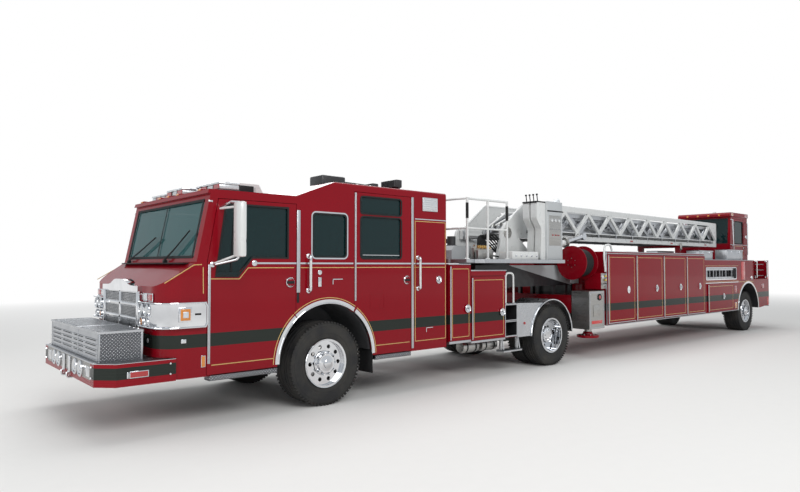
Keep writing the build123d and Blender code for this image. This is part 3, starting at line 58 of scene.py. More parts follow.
# %% Camera
EYE = Vector((-10.910, -7.815, 1.793))
HEADING = radians(41.17)
LIFT = radians(1.77)
FOCAL_PIXELS = 619.63
IMAGE_WIDTH = 800
SENSOR = 36.0

camera_data = bpy.data.cameras.new("camera")
camera_data.sensor_width = SENSOR
camera_data.lens = FOCAL_PIXELS / IMAGE_WIDTH * SENSOR
camera_data.clip_end = 400.0
camera = bpy.data.objects.new("camera", camera_data)
camera.location = EYE
camera.rotation_euler = (pi / 2 + LIFT, 0.0, -HEADING)
bpy.context.scene.collection.objects.link(camera)
bpy.context.scene.camera = camera
bpy.context.scene.view_settings.view_transform = "Standard"
print("lens", round(camera_data.lens, 2), "mm")

# %% [markdown]
# Shader maths reads best as ordinary arithmetic. A Wire wraps one output socket, and an expression such as
# 1 - mask * 0.5 adds the Math nodes for it. A Finish is one material: its add method makes any other node from its
# type, its settings and what its sockets get.

# %% A small language for materials


class Wire:
    def __init__(self, finish, socket):
        self.finish = finish
        self.socket = socket

    def math(self, operation, *values):
        return self.finish.add("ShaderNodeMath", {"operation": operation}, dict(enumerate(values)))

    def __add__(self, other):
        return self.math("ADD", self, other)

    def __radd__(self, other):
        return self.math("ADD", other, self)

    def __sub__(self, other):
        return self.math("SUBTRACT", self, other)

    def __rsub__(self, other):
        return self.math("SUBTRACT", other, self)

    def __mul__(self, other):
        return self.math("MULTIPLY", self, other)

    def __rmul__(self, other):
        return self.math("MULTIPLY", other, self)

    def __truediv__(self, other):
        return self.math("DIVIDE", self, other)

    def __gt__(self, other):
        return self.math("GREATER_THAN", self, other)

    def __lt__(self, other):
        return self.math("LESS_THAN", self, other)

    def size(self):
        return self.math("ABSOLUTE", self)

    def fraction(self):
        return self.math("FRACT", self)

    def between(self, low, high):
        return (self > low) * (self < high)


class Finish:
    def __init__(self, name, colour, roughness, metallic=0.0, coat=0.0, specular=0.5):
        self.material = bpy.data.materials.new(name)
        self.material.use_nodes = True
        self.tree = self.material.node_tree
        self.shader = self.tree.nodes["Principled BSDF"]
        self.shader.inputs["Base Color"].default_value = (*colour, 1.0)
        self.shader.inputs["Roughness"].default_value = roughness
        self.shader.inputs["Metallic"].default_value = metallic
        self.shader.inputs["Coat Weight"].default_value = coat
        self.shader.inputs["Coat Roughness"].default_value = 0.03
        self.shader.inputs["Specular IOR Level"].default_value = specular
        self.material.diffuse_color = (*colour, 1.0)

    def plug(self, socket, value):
        if isinstance(value, Wire):
            self.tree.links.new(value.socket, socket)
        elif isinstance(value, tuple) and len(value) == 3 and socket.type == "RGBA":
            socket.default_value = (*value, 1.0)
        else:
            socket.default_value = value

    def add(self, kind, settings=None, sockets=None, out=0):
        node = self.tree.nodes.new(kind)
        for key, value in (settings or {}).items():
            setattr(node, key, value)
        for key, value in (sockets or {}).items():
            self.plug(node.inputs[key], value)
        return Wire(self, node.outputs[out])

    def set(self, socket, value):
        self.plug(self.shader.inputs[socket], value)

    def place(self):
        return self.add("ShaderNodeTexCoord", out="Object")

    def axes(self):
        node = self.tree.nodes.new("ShaderNodeSeparateXYZ")
        self.plug(node.inputs[0], self.place())
        return [Wire(self, out) for out in node.outputs]

    def noise(self, scale, detail=3.0, vector=None, roughness=0.5):
        sockets = {"Vector": vector or self.place(), "Scale": scale, "Detail": detail, "Roughness": roughness}
        return self.add("ShaderNodeTexNoise", {}, sockets)

    def stretch(self, scale):
        return self.add("ShaderNodeMapping", {}, {"Vector": self.place(), "Scale": scale})

    def range(self, value, low, high, out_low, out_high):
        sockets = {0: value, 1: low, 2: high, 3: out_low, 4: out_high}
        return self.add("ShaderNodeMapRange", {"clamp": True}, sockets)

    def mix(self, share, first, second):
        settings = {"data_type": "RGBA"}
        return self.add("ShaderNodeMix", settings, {0: share, 6: first, 7: second}, out=2)

    def bump(self, height, distance, strength):
        return self.add("ShaderNodeBump", {}, {"Height": height, "Distance": distance, "Strength": strength})


# %% [markdown]
# The stage is a plain pale floor that fades to the white of the background with distance, so no horizon line shows.
# Light comes from a few large soft panels and an even, slightly blue world. The camera sees that world as white, and
# chrome and gloss paint mirror it a little brighter than it lights the rest.

# %% Stage, world and lights
FLOOR_HALF = 90.0
FADE_FROM = 13.0
FADE_TO = 34.0
FLOOR_PALE = (0.80, 0.79, 0.77)
FLOOR_GREY = (0.72, 0.71, 0.69)
BACKGROUND = (1.0, 1.0, 1.0)
ROOM_TINT = (0.92, 0.96, 1.0)
ROOM_LIGHT = 0.42
ROOM_EXTRA_IN_MIRRORS = 0.33


def make_floor():
    mesh = bpy.data.meshes.new("floor")
    corners = [(x * FLOOR_HALF, y * FLOOR_HALF, 0.0) for x, y in ((-1, -1), (1, -1), (1, 1), (-1, 1))]
    mesh.from_pydata(corners, [], [(0, 1, 2, 3)])
    floor = bpy.data.objects.new("floor", mesh)
    bpy.context.scene.collection.objects.link(floor)
    finish = Finish("pale_floor", FLOOR_PALE, 0.9, specular=0.1)
    x, y, _ = finish.axes()
    reach = x * x + y * y * 1.6
    away = reach.math("SQRT", reach)
    fade = finish.range(away, FADE_FROM, FADE_TO, 0.0, 1.0)
    grain = finish.noise(7.0, 5.0)
    finish.set("Base Color", finish.mix(grain * 0.25, FLOOR_PALE, FLOOR_GREY))
    glow = finish.tree.nodes.new("ShaderNodeEmission")
    glow.inputs["Color"].default_value = (*BACKGROUND, 1.0)
    blend = finish.tree.nodes.new("ShaderNodeMixShader")
    finish.plug(blend.inputs[0], fade)
    finish.tree.links.new(finish.shader.outputs[0], blend.inputs[1])
    finish.tree.links.new(glow.outputs[0], blend.inputs[2])
    output = finish.tree.nodes["Material Output"]
    finish.tree.links.new(blend.outputs[0], output.inputs["Surface"])
    mesh.materials.append(finish.material)


def make_world():
    world = bpy.data.worlds.new("room")
    bpy.context.scene.world = world
    world.use_nodes = True
    tree = world.node_tree
    seen = tree.nodes["Background"]
    seen.inputs["Color"].default_value = (*BACKGROUND, 1.0)
    light = tree.nodes.new("ShaderNodeBackground")
    light.inputs["Color"].default_value = (*ROOM_TINT, 1.0)
    path = tree.nodes.new("ShaderNodeLightPath")
    level = tree.nodes.new("ShaderNodeMath")
    level.operation = "MULTIPLY_ADD"
    level.inputs[1].default_value = ROOM_EXTRA_IN_MIRRORS
    level.inputs[2].default_value = ROOM_LIGHT
    tree.links.new(path.outputs["Is Glossy Ray"], level.inputs[0])
    tree.links.new(level.outputs[0], light.inputs["Strength"])
    either = tree.nodes.new("ShaderNodeMath")
    either.operation = "MAXIMUM"
    tree.links.new(path.outputs["Is Camera Ray"], either.inputs[0])
    tree.links.new(path.outputs["Is Transmission Ray"], either.inputs[1])
    blend = tree.nodes.new("ShaderNodeMixShader")
    tree.links.new(either.outputs[0], blend.inputs[0])
    tree.links.new(light.outputs[0], blend.inputs[1])
    tree.links.new(seen.outputs[0], blend.inputs[2])
    tree.links.new(blend.outputs[0], tree.nodes["World Output"].inputs["Surface"])


def soft_panel(name, place, aim, size, power):
    data = bpy.data.lights.new(name, "AREA")
    data.shape = "RECTANGLE"
    data.size, data.size_y = size
    data.energy = power
    panel = bpy.data.objects.new(name, data)
    panel.location = place
    panel.rotation_euler = (Vector(aim) - Vector(place)).to_track_quat("-Z", "Y").to_euler()
    bpy.context.scene.collection.objects.link(panel)


make_floor()
make_world()
soft_panel("key", (-9.0, -16.0, 12.0), (-2.0, 0.0, 1.2), (14.0, 7.0), 1750)
soft_panel("top", (0.0, 2.0, 15.0), (0.0, 0.0, 1.0), (22.0, 9.0), 1300)
soft_panel("front", (-21.0, -2.0, 6.0), (-8.0, 0.0, 1.0), (8.0, 7.0), 520)
soft_panel("far_side", (4.0, 17.0, 9.0), (0.0, 0.0, 1.0), (16.0, 6.0), 800)
print("stage ready")

# %% [markdown]
# The finishes. Gloss red paint is a saturated base under a clear coat, with a faint orange-peel ripple. A dark
# reflective band runs round the whole vehicle at one height, so it is a mask on z inside the paint: it then lines
# up over every door and panel by itself.

# %% Paints
BAND_LOW, BAND_HIGH = 0.891, 1.037
RED = (0.245, 0.003, 0.010)
RED_DEEP = (0.190, 0.002, 0.008)
GOLD = (0.62, 0.42, 0.14)
BAND = (0.020, 0.025, 0.021)
BAND_OUT_Y = 1.15
BAND_FRONT_X = -8.3


def gloss_red(name, band):
    finish = Finish(name, RED, 0.20, coat=0.30, specular=0.05)
    shade = finish.mix(finish.noise(1.3, 2.0) * 0.6, RED, RED_DEEP)
    if band:
        x, y, z = finish.axes()
        outside = y.math("MAXIMUM", y.size() > BAND_OUT_Y, x < BAND_FRONT_X)
        shade = finish.mix(z.between(BAND_LOW, BAND_HIGH) * outside, shade, BAND)
    finish.set("Base Color", shade)
    finish.set("Roughness", finish.range(finish.noise(2.2, 4.0), 0.3, 0.7, 0.14, 0.26))
    finish.set("Normal", finish.bump(finish.noise(240.0, 1.0), 0.0004, 0.05))
    return finish.material


def plain_paint(name, colour, roughness=0.3, coat=0.6, dust=0.12, grain=300.0, depth=0.0003):
    finish = Finish(name, colour, roughness, 0.0, coat)
    darker = tuple(v * (1 - dust) for v in colour)
    finish.set("Base Color", finish.mix(finish.noise(3.5, 4.0), colour, darker))
    finish.set("Roughness", finish.range(finish.noise(9.0, 4.0), 0.3, 0.7, roughness * 0.8, roughness * 1.25))
    finish.set("Normal", finish.bump(finish.noise(grain, 2.0), depth, 0.15))
    return finish.material


def bright_metal(name, colour, roughness, brush=None):
    """Polished metal has soft patches of wear; brushed metal has a fine grain drawn out in one direction."""
    finish = Finish(name, colour, roughness, 1.0)
    dull = tuple(v * 0.90 for v in colour)
    grain = finish.noise(1.0, 3.0, finish.stretch(brush)) if brush else finish.noise(6.0, 3.0)
    finish.set("Base Color", finish.mix(finish.range(grain, 0.35, 0.65, 0.0, 1.0), colour, dull))
    finish.set("Roughness", finish.range(grain, 0.3, 0.7, roughness * 0.75, roughness * 1.4))
    finish.set("Normal", finish.bump(grain, 0.0005, 0.10 if brush else 0.03))
    return finish.material


# %% Patterned metals
TREAD_PITCH = 0.036


def tread_plate(name, across, up):
    """Diamond plate: short raised lozenges, every other one turned, on the plane of two axes."""
    finish = Finish(name, (0.72, 0.73, 0.75), 0.26, 1.0)
    axes = finish.axes()
    raised = None
    for shift in (0.0, 0.5):
        u = (axes[across] / TREAD_PITCH + shift).fraction() - 0.5
        v = (axes[up] / TREAD_PITCH + shift).fraction() - 0.5
        flip = 1 if shift else -1
        shape = (u + v * flip).size() * 0.9 + (u - v * flip).size() * 3.2
        lozenge = finish.range(shape, 0.30, 0.62, 1.0, 0.0)
        raised = raised.math("MAXIMUM", raised, lozenge) if raised else lozenge
    finish.set("Normal", finish.bump(raised, 0.003, 0.9))
    finish.set("Base Color", finish.mix(raised, (0.13, 0.135, 0.145), (0.74, 0.75, 0.77)))
    finish.set("Roughness", finish.range(raised, 0.0, 1.0, 0.36, 0.14))
    return finish.material


def bumper_skin(name):
    """Brushed stainless front, red lower and upper edges, and the dark band round the corners and sides."""
    finish = Finish(name, (0.30, 0.29, 0.28), 0.25, 0.0, 0.2, 0.1)
    x, y, z = finish.axes()
    front = (x < -9.07) * (y.size() < 0.93) * (z > 0.615)
    band = z.between(0.632, 0.752) * (1 - front)
    top = (z > 0.790) * (1 - front)
    paint = finish.mix(band, RED, BAND)
    paint = finish.mix(top, paint, (0.60, 0.61, 0.63))
    finish.set("Base Color", finish.mix(front, paint, (0.26, 0.25, 0.235)))
    finish.set("Metallic", finish.range(front + top, 0.0, 1.0, 0.0, 1.0))
    grain = finish.noise(1.0, 3.0, finish.stretch((3.0, 3.0, 240.0)))
    finish.set("Roughness", finish.range(grain, 0.3, 0.7, 0.20, 0.34))
    finish.set("Normal", finish.bump(grain, 0.0004, 0.08))
    return finish.material


# %% Glass, lenses and rubber
def glass(name, tint, alpha, roughness=0.04):
    finish = Finish(name, tint, roughness, 0.0, 0.0, 0.35)
    haze = finish.noise(2.0, 3.0)
    finish.set("Base Color", finish.mix(haze, tint, tuple(v * 0.7 for v in tint)))
    finish.set("Alpha", finish.range(haze, 0.3, 0.7, alpha - 0.03, alpha + 0.03))
    finish.set("Roughness", finish.range(haze, 0.3, 0.7, roughness * 0.6, roughness * 1.4))
    return finish.material


def lens(name, colour, metallic=0.0, pitch=0.012):
    """A lamp lens: clear coated plastic over a fluted reflector, drawn as fine ribs both ways."""
    finish = Finish(name, colour, 0.16, metallic, 1.0)
    x, y, z = finish.axes()
    ribs = ((x + y) / pitch).fraction() - 0.5
    rows = (z / pitch).fraction() - 0.5
    height = ribs.size() + rows.size()
    finish.set("Base Color", finish.mix(height, tuple(v * 0.55 for v in colour), colour))
    finish.set("Normal", finish.bump(height, 0.002, 0.5))
    finish.set("Roughness", finish.range(finish.noise(6.0), 0.3, 0.7, 0.10, 0.22))
    return finish.material


def rubber(name, colour=(0.020, 0.020, 0.021), dusty=(0.050, 0.047, 0.042), grain=120.0):
    finish = Finish(name, colour, 0.75, specular=0.3)
    dust = finish.noise(5.0, 5.0)
    finish.set("Base Color", finish.mix(finish.range(dust, 0.4, 0.75, 0.0, 1.0), colour, dusty))
    finish.set("Roughness", finish.range(dust, 0.3, 0.7, 0.60, 0.85))
    finish.set("Normal", finish.bump(finish.noise(grain, 3.0), 0.001, 0.25))
    return finish.material


def vinyl(name, colour):
    finish = Finish(name, colour, 0.55, specular=0.4)
    cells = finish.add("ShaderNodeTexVoronoi", {}, {"Vector": finish.place(), "Scale": 260.0})
    finish.set("Normal", finish.bump(cells, 0.0008, 0.3))
    finish.set("Base Color", finish.mix(finish.noise(6.0), colour, tuple(v * 0.75 for v in colour)))
    finish.set("Roughness", finish.range(finish.noise(11.0), 0.3, 0.7, 0.45, 0.65))
    return finish.material


def reflective_red(name):
    """Retro-reflective sheet: a fine honeycomb under a clear face."""
    finish = Finish(name, (0.62, 0.02, 0.02), 0.35, coat=0.8)
    sockets = {"Vector": finish.place(), "Scale": 180.0}
    cells = finish.add("ShaderNodeTexVoronoi", {"feature": "DISTANCE_TO_EDGE"}, sockets)
    inside = finish.range(cells, 0.0, 0.12, 0.0, 1.0)
    finish.set("Base Color", finish.mix(inside, (0.40, 0.01, 0.012), (0.66, 0.025, 0.02)))
    finish.set("Roughness", finish.range(cells, 0.0, 0.2, 0.5, 0.25))
    return finish.material


# %% The list of finishes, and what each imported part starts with
RED_PAINT = gloss_red("red_paint", True)
RED_PLAIN = gloss_red("red_paint_plain", False)
WHITE = plain_paint("white_paint", (0.72, 0.73, 0.72))
PALE_GREY = plain_paint("pale_grey_paint", (0.48, 0.50, 0.51), 0.4, 0.3)
DARK = plain_paint("dark_paint", (0.018, 0.018, 0.020), 0.45, 0.2)
PLASTIC = plain_paint("grey_plastic", (0.055, 0.056, 0.060), 0.6, 0.0, 0.2, 180.0, 0.0008)
CAST = plain_paint("cast_iron", (0.035, 0.035, 0.038), 0.6, 0.0, 0.4, 90.0, 0.0015)
GREY_DECK = plain_paint("deck_coating", (0.34, 0.35, 0.36), 0.75, 0.0, 0.25, 150.0, 0.002)
CHROME = bright_metal("polished", (0.74, 0.75, 0.77), 0.05)
ALUMINIUM = bright_metal("aluminium", (0.56, 0.57, 0.59), 0.28)
SATIN = bright_metal("satin_aluminium", (0.54, 0.55, 0.57), 0.36, (160.0, 3.0, 3.0))
STEEL = bright_metal("brushed_steel", (0.47, 0.46, 0.44), 0.30, (4.0, 4.0, 220.0))
BRASS = bright_metal("brass", (0.70, 0.48, 0.18), 0.25)
GOLD_LEAF = plain_paint("gold_leaf", GOLD, 0.30, 0.3, 0.10)
TREAD_TOP = tread_plate("tread_plate_top", 0, 1)
TREAD_SIDE = tread_plate("tread_plate_side", 0, 2)
TREAD_END = tread_plate("tread_plate_end", 1, 2)
BUMPER = bumper_skin("bumper_skin")
TYRE = rubber("tyre_rubber")
SEAL = rubber("black_rubber", (0.012, 0.012, 0.013), (0.02, 0.02, 0.02), 300.0)
GLASS = glass("tinted_glass", (0.006, 0.026, 0.028), 0.88)
SCREEN = glass("screen_glass", (0.028, 0.125, 0.130), 0.74)
CLEAR_LENS = lens("clear_lens", (0.80, 0.83, 0.85), 0.35)
RED_LENS = lens("red_lens", (0.50, 0.010, 0.010))
AMBER_LENS = lens("amber_lens", (0.80, 0.27, 0.02))
REFLECTIVE = reflective_red("reflective_red")
SEAT = vinyl("seat_vinyl", (0.050, 0.052, 0.058))

STARTING = {
    "red_paint": RED_PAINT,
    "white_paint": WHITE,
    "dark_paint": DARK,
    "grey_plastic": PLASTIC,
    "polished": CHROME,
    "aluminium": ALUMINIUM,
    "steel": STEEL,
    "cast": CAST,
    "tyre": TYRE,
    "glass": GLASS,
}
slots = {entry["node"]: entry["material_slot"] for entry in frame["record"]["subparts"]}
for name, node in nodes.items():
    node.data.materials.clear()
    node.data.materials.append(STARTING[slots[name]])
print("finishes", len(bpy.data.materials), "on", len(nodes), "parts")

# %% [markdown]
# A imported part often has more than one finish: a door has glass, a step has tread plate on top. Its mesh must not
# change, but each face may take another material, so a face is picked by where it lies and which way it looks.

# %% Dress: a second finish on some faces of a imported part
HANDS = (("left", -1), ("right", 1))
Axes = namedtuple("Axes", "x y z")


def dress(name, finish, test):
    """Give a finish to the faces of a part whose centre and outward direction pass a test."""
    mesh = nodes[name].data
    count = len(mesh.polygons)

    def read(key):
        values = np.empty(count * 3)
        mesh.polygons.foreach_get(key, values)
        return Axes(*values.reshape(-1, 3).T)

    picked = test(read("center"), read("normal"))
    mesh.materials.append(finish)
    marks = np.empty(count, dtype=np.int32)
    mesh.polygons.foreach_get("material_index", marks)
    marks[picked] = len(mesh.materials) - 1
    mesh.polygons.foreach_set("material_index", marks)
    return int(picked.sum())


def in_box(at, x=(-99, 99), y=(-99, 99), z=(-99, 99)):
    return np.all([(along > low) & (along < high) for along, (low, high) in zip(at, (x, y, z))], axis=0)


def pane(at, y):
    """Both faces of a side window whose glass stands y metres from the middle plane."""
    return abs(abs(at.y) - y) < 0.0045


CAB_PANE_Y = 1.198
TILLER_PANE_Y = 0.702
LINING_Y = 1.165
MIRROR_Y = 1.30
WINDOW_Z = (1.70, 2.75)
TRAY_FLOOR_Z = 0.80
LATCH_BOSS_Y = 1.295

# a part, its second finish, and the faces that take it; a later row wins over an earlier one
DRESSES = [
    ("cab_glass", SCREEN, lambda at, to: at.x < -7.7), ("cab_floor", TREAD_TOP, lambda at, to: to.z > 0.7),
    ("cab_interior", SEAT, lambda at, to: at.x > -7.6),
    ("tractor_boxes", TREAD_TOP, lambda at, to: (to.z > 0.7) & (at.x > -2.9)),
    ("tractor_boxes", TREAD_SIDE, lambda at, to: (abs(to.y) > 0.7) & (at.x > -2.80)),
    (
        "tractor_boxes", DARK, lambda at,
        to: in_box(at, (-2.835, -2.485), (-1.197, 1.197), (0.60, 1.14)) & (to.z < 0.7),
    ),
    ("tractor_boxes", ALUMINIUM, lambda at, to: in_box(at, (-2.9, -2.3), z=(0.2, 0.60)) & (to.z < 0.7)),
    ("front_chrome", DARK, lambda at, to: (at.x > -8.52) & (abs(at.y) < 0.62) & (to.x < -0.9)),
    ("front_bumper", BUMPER, lambda at, to: at.z < TRAY_FLOOR_Z),
    ("front_bumper", SATIN, lambda at, to: at.z >= TRAY_FLOOR_Z),
    ("front_bumper", TREAD_SIDE, lambda at, to: (at.z >= TRAY_FLOOR_Z) & (abs(to.y) > 0.8) & (at.x > -9.04)),
    ("front_bumper", TREAD_TOP, lambda at, to: in_box(at, z=(0.78, TRAY_FLOOR_Z)) & (to.z > 0.8)),
    ("tray_lid", TREAD_TOP, lambda at, to: to.z > 0.8), ("turntable", GREY_DECK, lambda at, to: at.z < 1.895),
    ("turntable", TREAD_TOP, lambda at, to: (at.z < 1.90) & (to.z > 0.8)),
    ("trailer_body", TREAD_TOP, lambda at, to: (to.z > 0.8) & (at.z > 1.9)),
    ("trailer_body", DARK, lambda at, to: in_box(at, (6.75, 8.35), (-1.262, 1.262), (0.4, 1.42))),
    ("trailer_body", PLASTIC, lambda at, to: in_box(at, (4.80, 6.76), (-1.262, 1.262), (1.40, 1.75))),
    ("trailer_frame", DARK, lambda at, to: (at.z < 1.30) | (at.x < 0.25)),
    ("trailer_frame", PALE_GREY, lambda at, to: in_box(at, (-1.40, 0.24), z=(1.42, 1.80)) & (abs(to.y) > 0.7)),
    ("tiller_cab", SEAT, lambda at, to: in_box(at, (8.1, 9.0), (-0.6, 0.6), (1.96, 3.05))),
]
for hand, _ in HANDS:
    DRESSES += [
        (f"door_front_{hand}", GLASS, lambda at, to: pane(at, CAB_PANE_Y) & in_box(at, (-7.95, -6.9), z=WINDOW_Z)),
        (f"door_front_{hand}", PLASTIC, lambda at, to: abs(at.y) < LINING_Y),
        (f"door_front_{hand}", WHITE, lambda at, to: abs(at.y) > MIRROR_Y),
        (f"door_crew_{hand}", GLASS, lambda at, to: pane(at, CAB_PANE_Y) & in_box(at, (-5.87, -5.09), z=WINDOW_Z)),
        (f"door_crew_{hand}", PLASTIC, lambda at, to: abs(at.y) < LINING_Y),
        (f"door_tiller_{hand}", GLASS, lambda at, to: pane(at, TILLER_PANE_Y) & in_box(at, z=(2.40, 3.10))),
    ]
    for part in ("bay_1", "bay_2", "bay_3", "bay_4", "low"):
        DRESSES.append((f"door_{part}_{hand}", CHROME, lambda at, to: abs(at.y) > LATCH_BOSS_Y))
# The three inner ladder sections are white like the base. Every face of theirs takes the darker satin aluminium
# instead, as painted shade for the shadow they lie in inside the base section.
for part in ("lower_mid", "upper_mid", "fly"):
    DRESSES.append((f"ladder_{part}", SATIN, lambda at, to: in_box(at)))
print("faces given a second finish", sum(dress(*row) for row in DRESSES))

# %% [markdown]
# What repeats is grown by Geometry Nodes: a Recipe is one tree with named inputs. It ends in Realize Instances and
# Set Material, and its result is turned into a plain mesh at once, so no modifier stays on any piece.

# %% Recipe: a Geometry Nodes tree with named inputs


class Recipe:
    SOCKETS = {
        "float": "NodeSocketFloat",
        "int": "NodeSocketInt",
        "Vector": "NodeSocketVector",
    }

    def __init__(self, name, **sizes):
        self.tree = bpy.data.node_groups.new(name, "GeometryNodeTree")
        faces = self.tree.interface
        faces.new_socket("Start", in_out="INPUT", socket_type="NodeSocketGeometry")
        for key, value in sizes.items():
            socket = faces.new_socket(key, in_out="INPUT", socket_type=self.SOCKETS[type(value).__name__])
            socket.default_value = value
        faces.new_socket("Finish", in_out="INPUT", socket_type="NodeSocketMaterial")
        faces.new_socket("Result", in_out="OUTPUT", socket_type="NodeSocketGeometry")
        self.given = self.tree.nodes.new("NodeGroupInput").outputs
        self.keys = {item.name: item.identifier for item in faces.items_tree if item.in_out == "INPUT"}

    def add(self, kind, settings=None, sockets=None, out=0):
        node = self.tree.nodes.new(kind)
        for key, value in (settings or {}).items():
            setattr(node, key, value)
        for key, value in (sockets or {}).items():
            if isinstance(value, bpy.types.NodeSocket):
                self.tree.links.new(value, node.inputs[key])
            else:
                node.inputs[key].default_value = value
        return node.outputs[out]

    def end(self, shape):
        whole = self.add("GeometryNodeRealizeInstances", {}, {0: shape})
        painted = self.add("GeometryNodeSetMaterial", {}, {"Geometry": whole, "Material": self.given["Finish"]})
        self.tree.links.new(painted, self.tree.nodes.new("NodeGroupOutput").inputs[0])

    def grow(self, finish, points=(), edges=(), **sizes):
        """Run the tree on a start mesh of points and edges, and give back its result as a bmesh."""
        start = bpy.data.meshes.new("start")
        start.from_pydata([tuple(point) for point in points], edges, [])
        holder = bpy.data.objects.new("start", start)
        bpy.context.scene.collection.objects.link(holder)
        modifier = holder.modifiers.new("grow", "NODES")
        modifier.node_group = self.tree
        for key, value in sizes.items():
            modifier[self.keys[key]] = value
        modifier[self.keys["Finish"]] = finish
        seen = holder.evaluated_get(bpy.context.evaluated_depsgraph_get())
        grown = bpy.data.meshes.new_from_object(seen)
        holder.modifiers.remove(modifier)
        bpy.data.objects.remove(holder)
        bpy.data.meshes.remove(start)
        shape = bmesh.new()
        shape.from_mesh(grown)
        bpy.data.meshes.remove(grown)
        return shape


# %% The recipes: rows of bars and pegs, rings of nuts and lugs, a bent tube
LINE = {"Count": 4, "Start_at": Vector(), "Step": Vector()}
PEG = {"Radius": 0.02, "Top": 0.014, "Depth": 0.03, "Sides": 6}


def stand_on(recipe, places, item, **more):
    """End a recipe with an item on each point of its places."""
    recipe.end(recipe.add("GeometryNodeInstanceOnPoints", {}, {"Points": places, "Instance": item, **more}))


def line_of(recipe):
    given = recipe.given
    sockets = {"Count": given["Count"], "Start Location": given["Start_at"], "Offset": given["Step"]}
    return recipe.add("GeometryNodeMeshLine", {"mode": "OFFSET"}, sockets)


def circle_of(recipe):
    sockets = {"Vertices": recipe.given["Count"], "Radius": recipe.given["Ring"]}
    return recipe.add("GeometryNodeMeshCircle", {}, sockets)


def peg_of(recipe):
    given = recipe.given
    sockets = {"Vertices": given["Sides"], "Radius Bottom": given["Radius"], "Radius Top": given["Top"]}
    return recipe.add("GeometryNodeMeshCone", {}, {**sockets, "Depth": given["Depth"]})


bar_row = Recipe("bar_row", **LINE, Size=Vector((1, 1, 1)))
bar = bar_row.add("GeometryNodeMeshCube", {}, {"Size": bar_row.given["Size"]})
stand_on(bar_row, line_of(bar_row), bar)

peg_row = Recipe("peg_row", **LINE, **PEG, Turn=Vector())
sockets = {"Geometry": peg_of(peg_row), "Rotation": peg_row.given["Turn"]}
stand_on(peg_row, line_of(peg_row), peg_row.add("GeometryNodeTransform", {}, sockets))

nut_ring = Recipe("nut_ring", Count=10, Ring=0.14, **PEG)
stand_on(nut_ring, circle_of(nut_ring), peg_of(nut_ring))

lug_ring = Recipe("lug_ring", Count=60, Ring=0.5, Size=Vector((0.05, 0.02, 0.02)))
lug = lug_ring.add("GeometryNodeMeshCube", {}, {"Size": lug_ring.given["Size"]})
place = lug_ring.add("GeometryNodeInputPosition")
faced = lug_ring.add("FunctionNodeAlignRotationToVector", {"axis": "X", "pivot_axis": "Z"}, {"Vector": place})
stand_on(lug_ring, circle_of(lug_ring), lug, Rotation=faced)

bent_tube = Recipe("bent_tube", Radius=0.01, Bend=0.05, Sides=12)
given = bent_tube.given
path = bent_tube.add("GeometryNodeMeshToCurve", {}, {"Mesh": given["Start"]})
sockets = {"Curve": path, "Radius": given["Bend"], "Count": 6, "Limit Radius": True}
rounded = bent_tube.add("GeometryNodeFilletCurve", {"mode": "POLY"}, sockets)
sockets = {"Resolution": given["Sides"], "Radius": given["Radius"]}
section = bent_tube.add("GeometryNodeCurvePrimitiveCircle", {"mode": "RADIUS"}, sockets)
sockets = {"Curve": rounded, "Profile Curve": section, "Fill Caps": True}
bent_tube.end(bent_tube.add("GeometryNodeCurveToMesh", {}, sockets))
print("recipes", [tree.name for tree in bpy.data.node_groups])

# %% [markdown]
# The trim itself is many small solid shapes fixed to one moving body: bars, plates, tubes, turned lamps. A Maker
# gathers the shapes of one piece in a single mesh, each face with its finish, and hands the piece over to its body.

# %% Maker: one piece from many small shapes
SMOOTH_TO = radians(34)


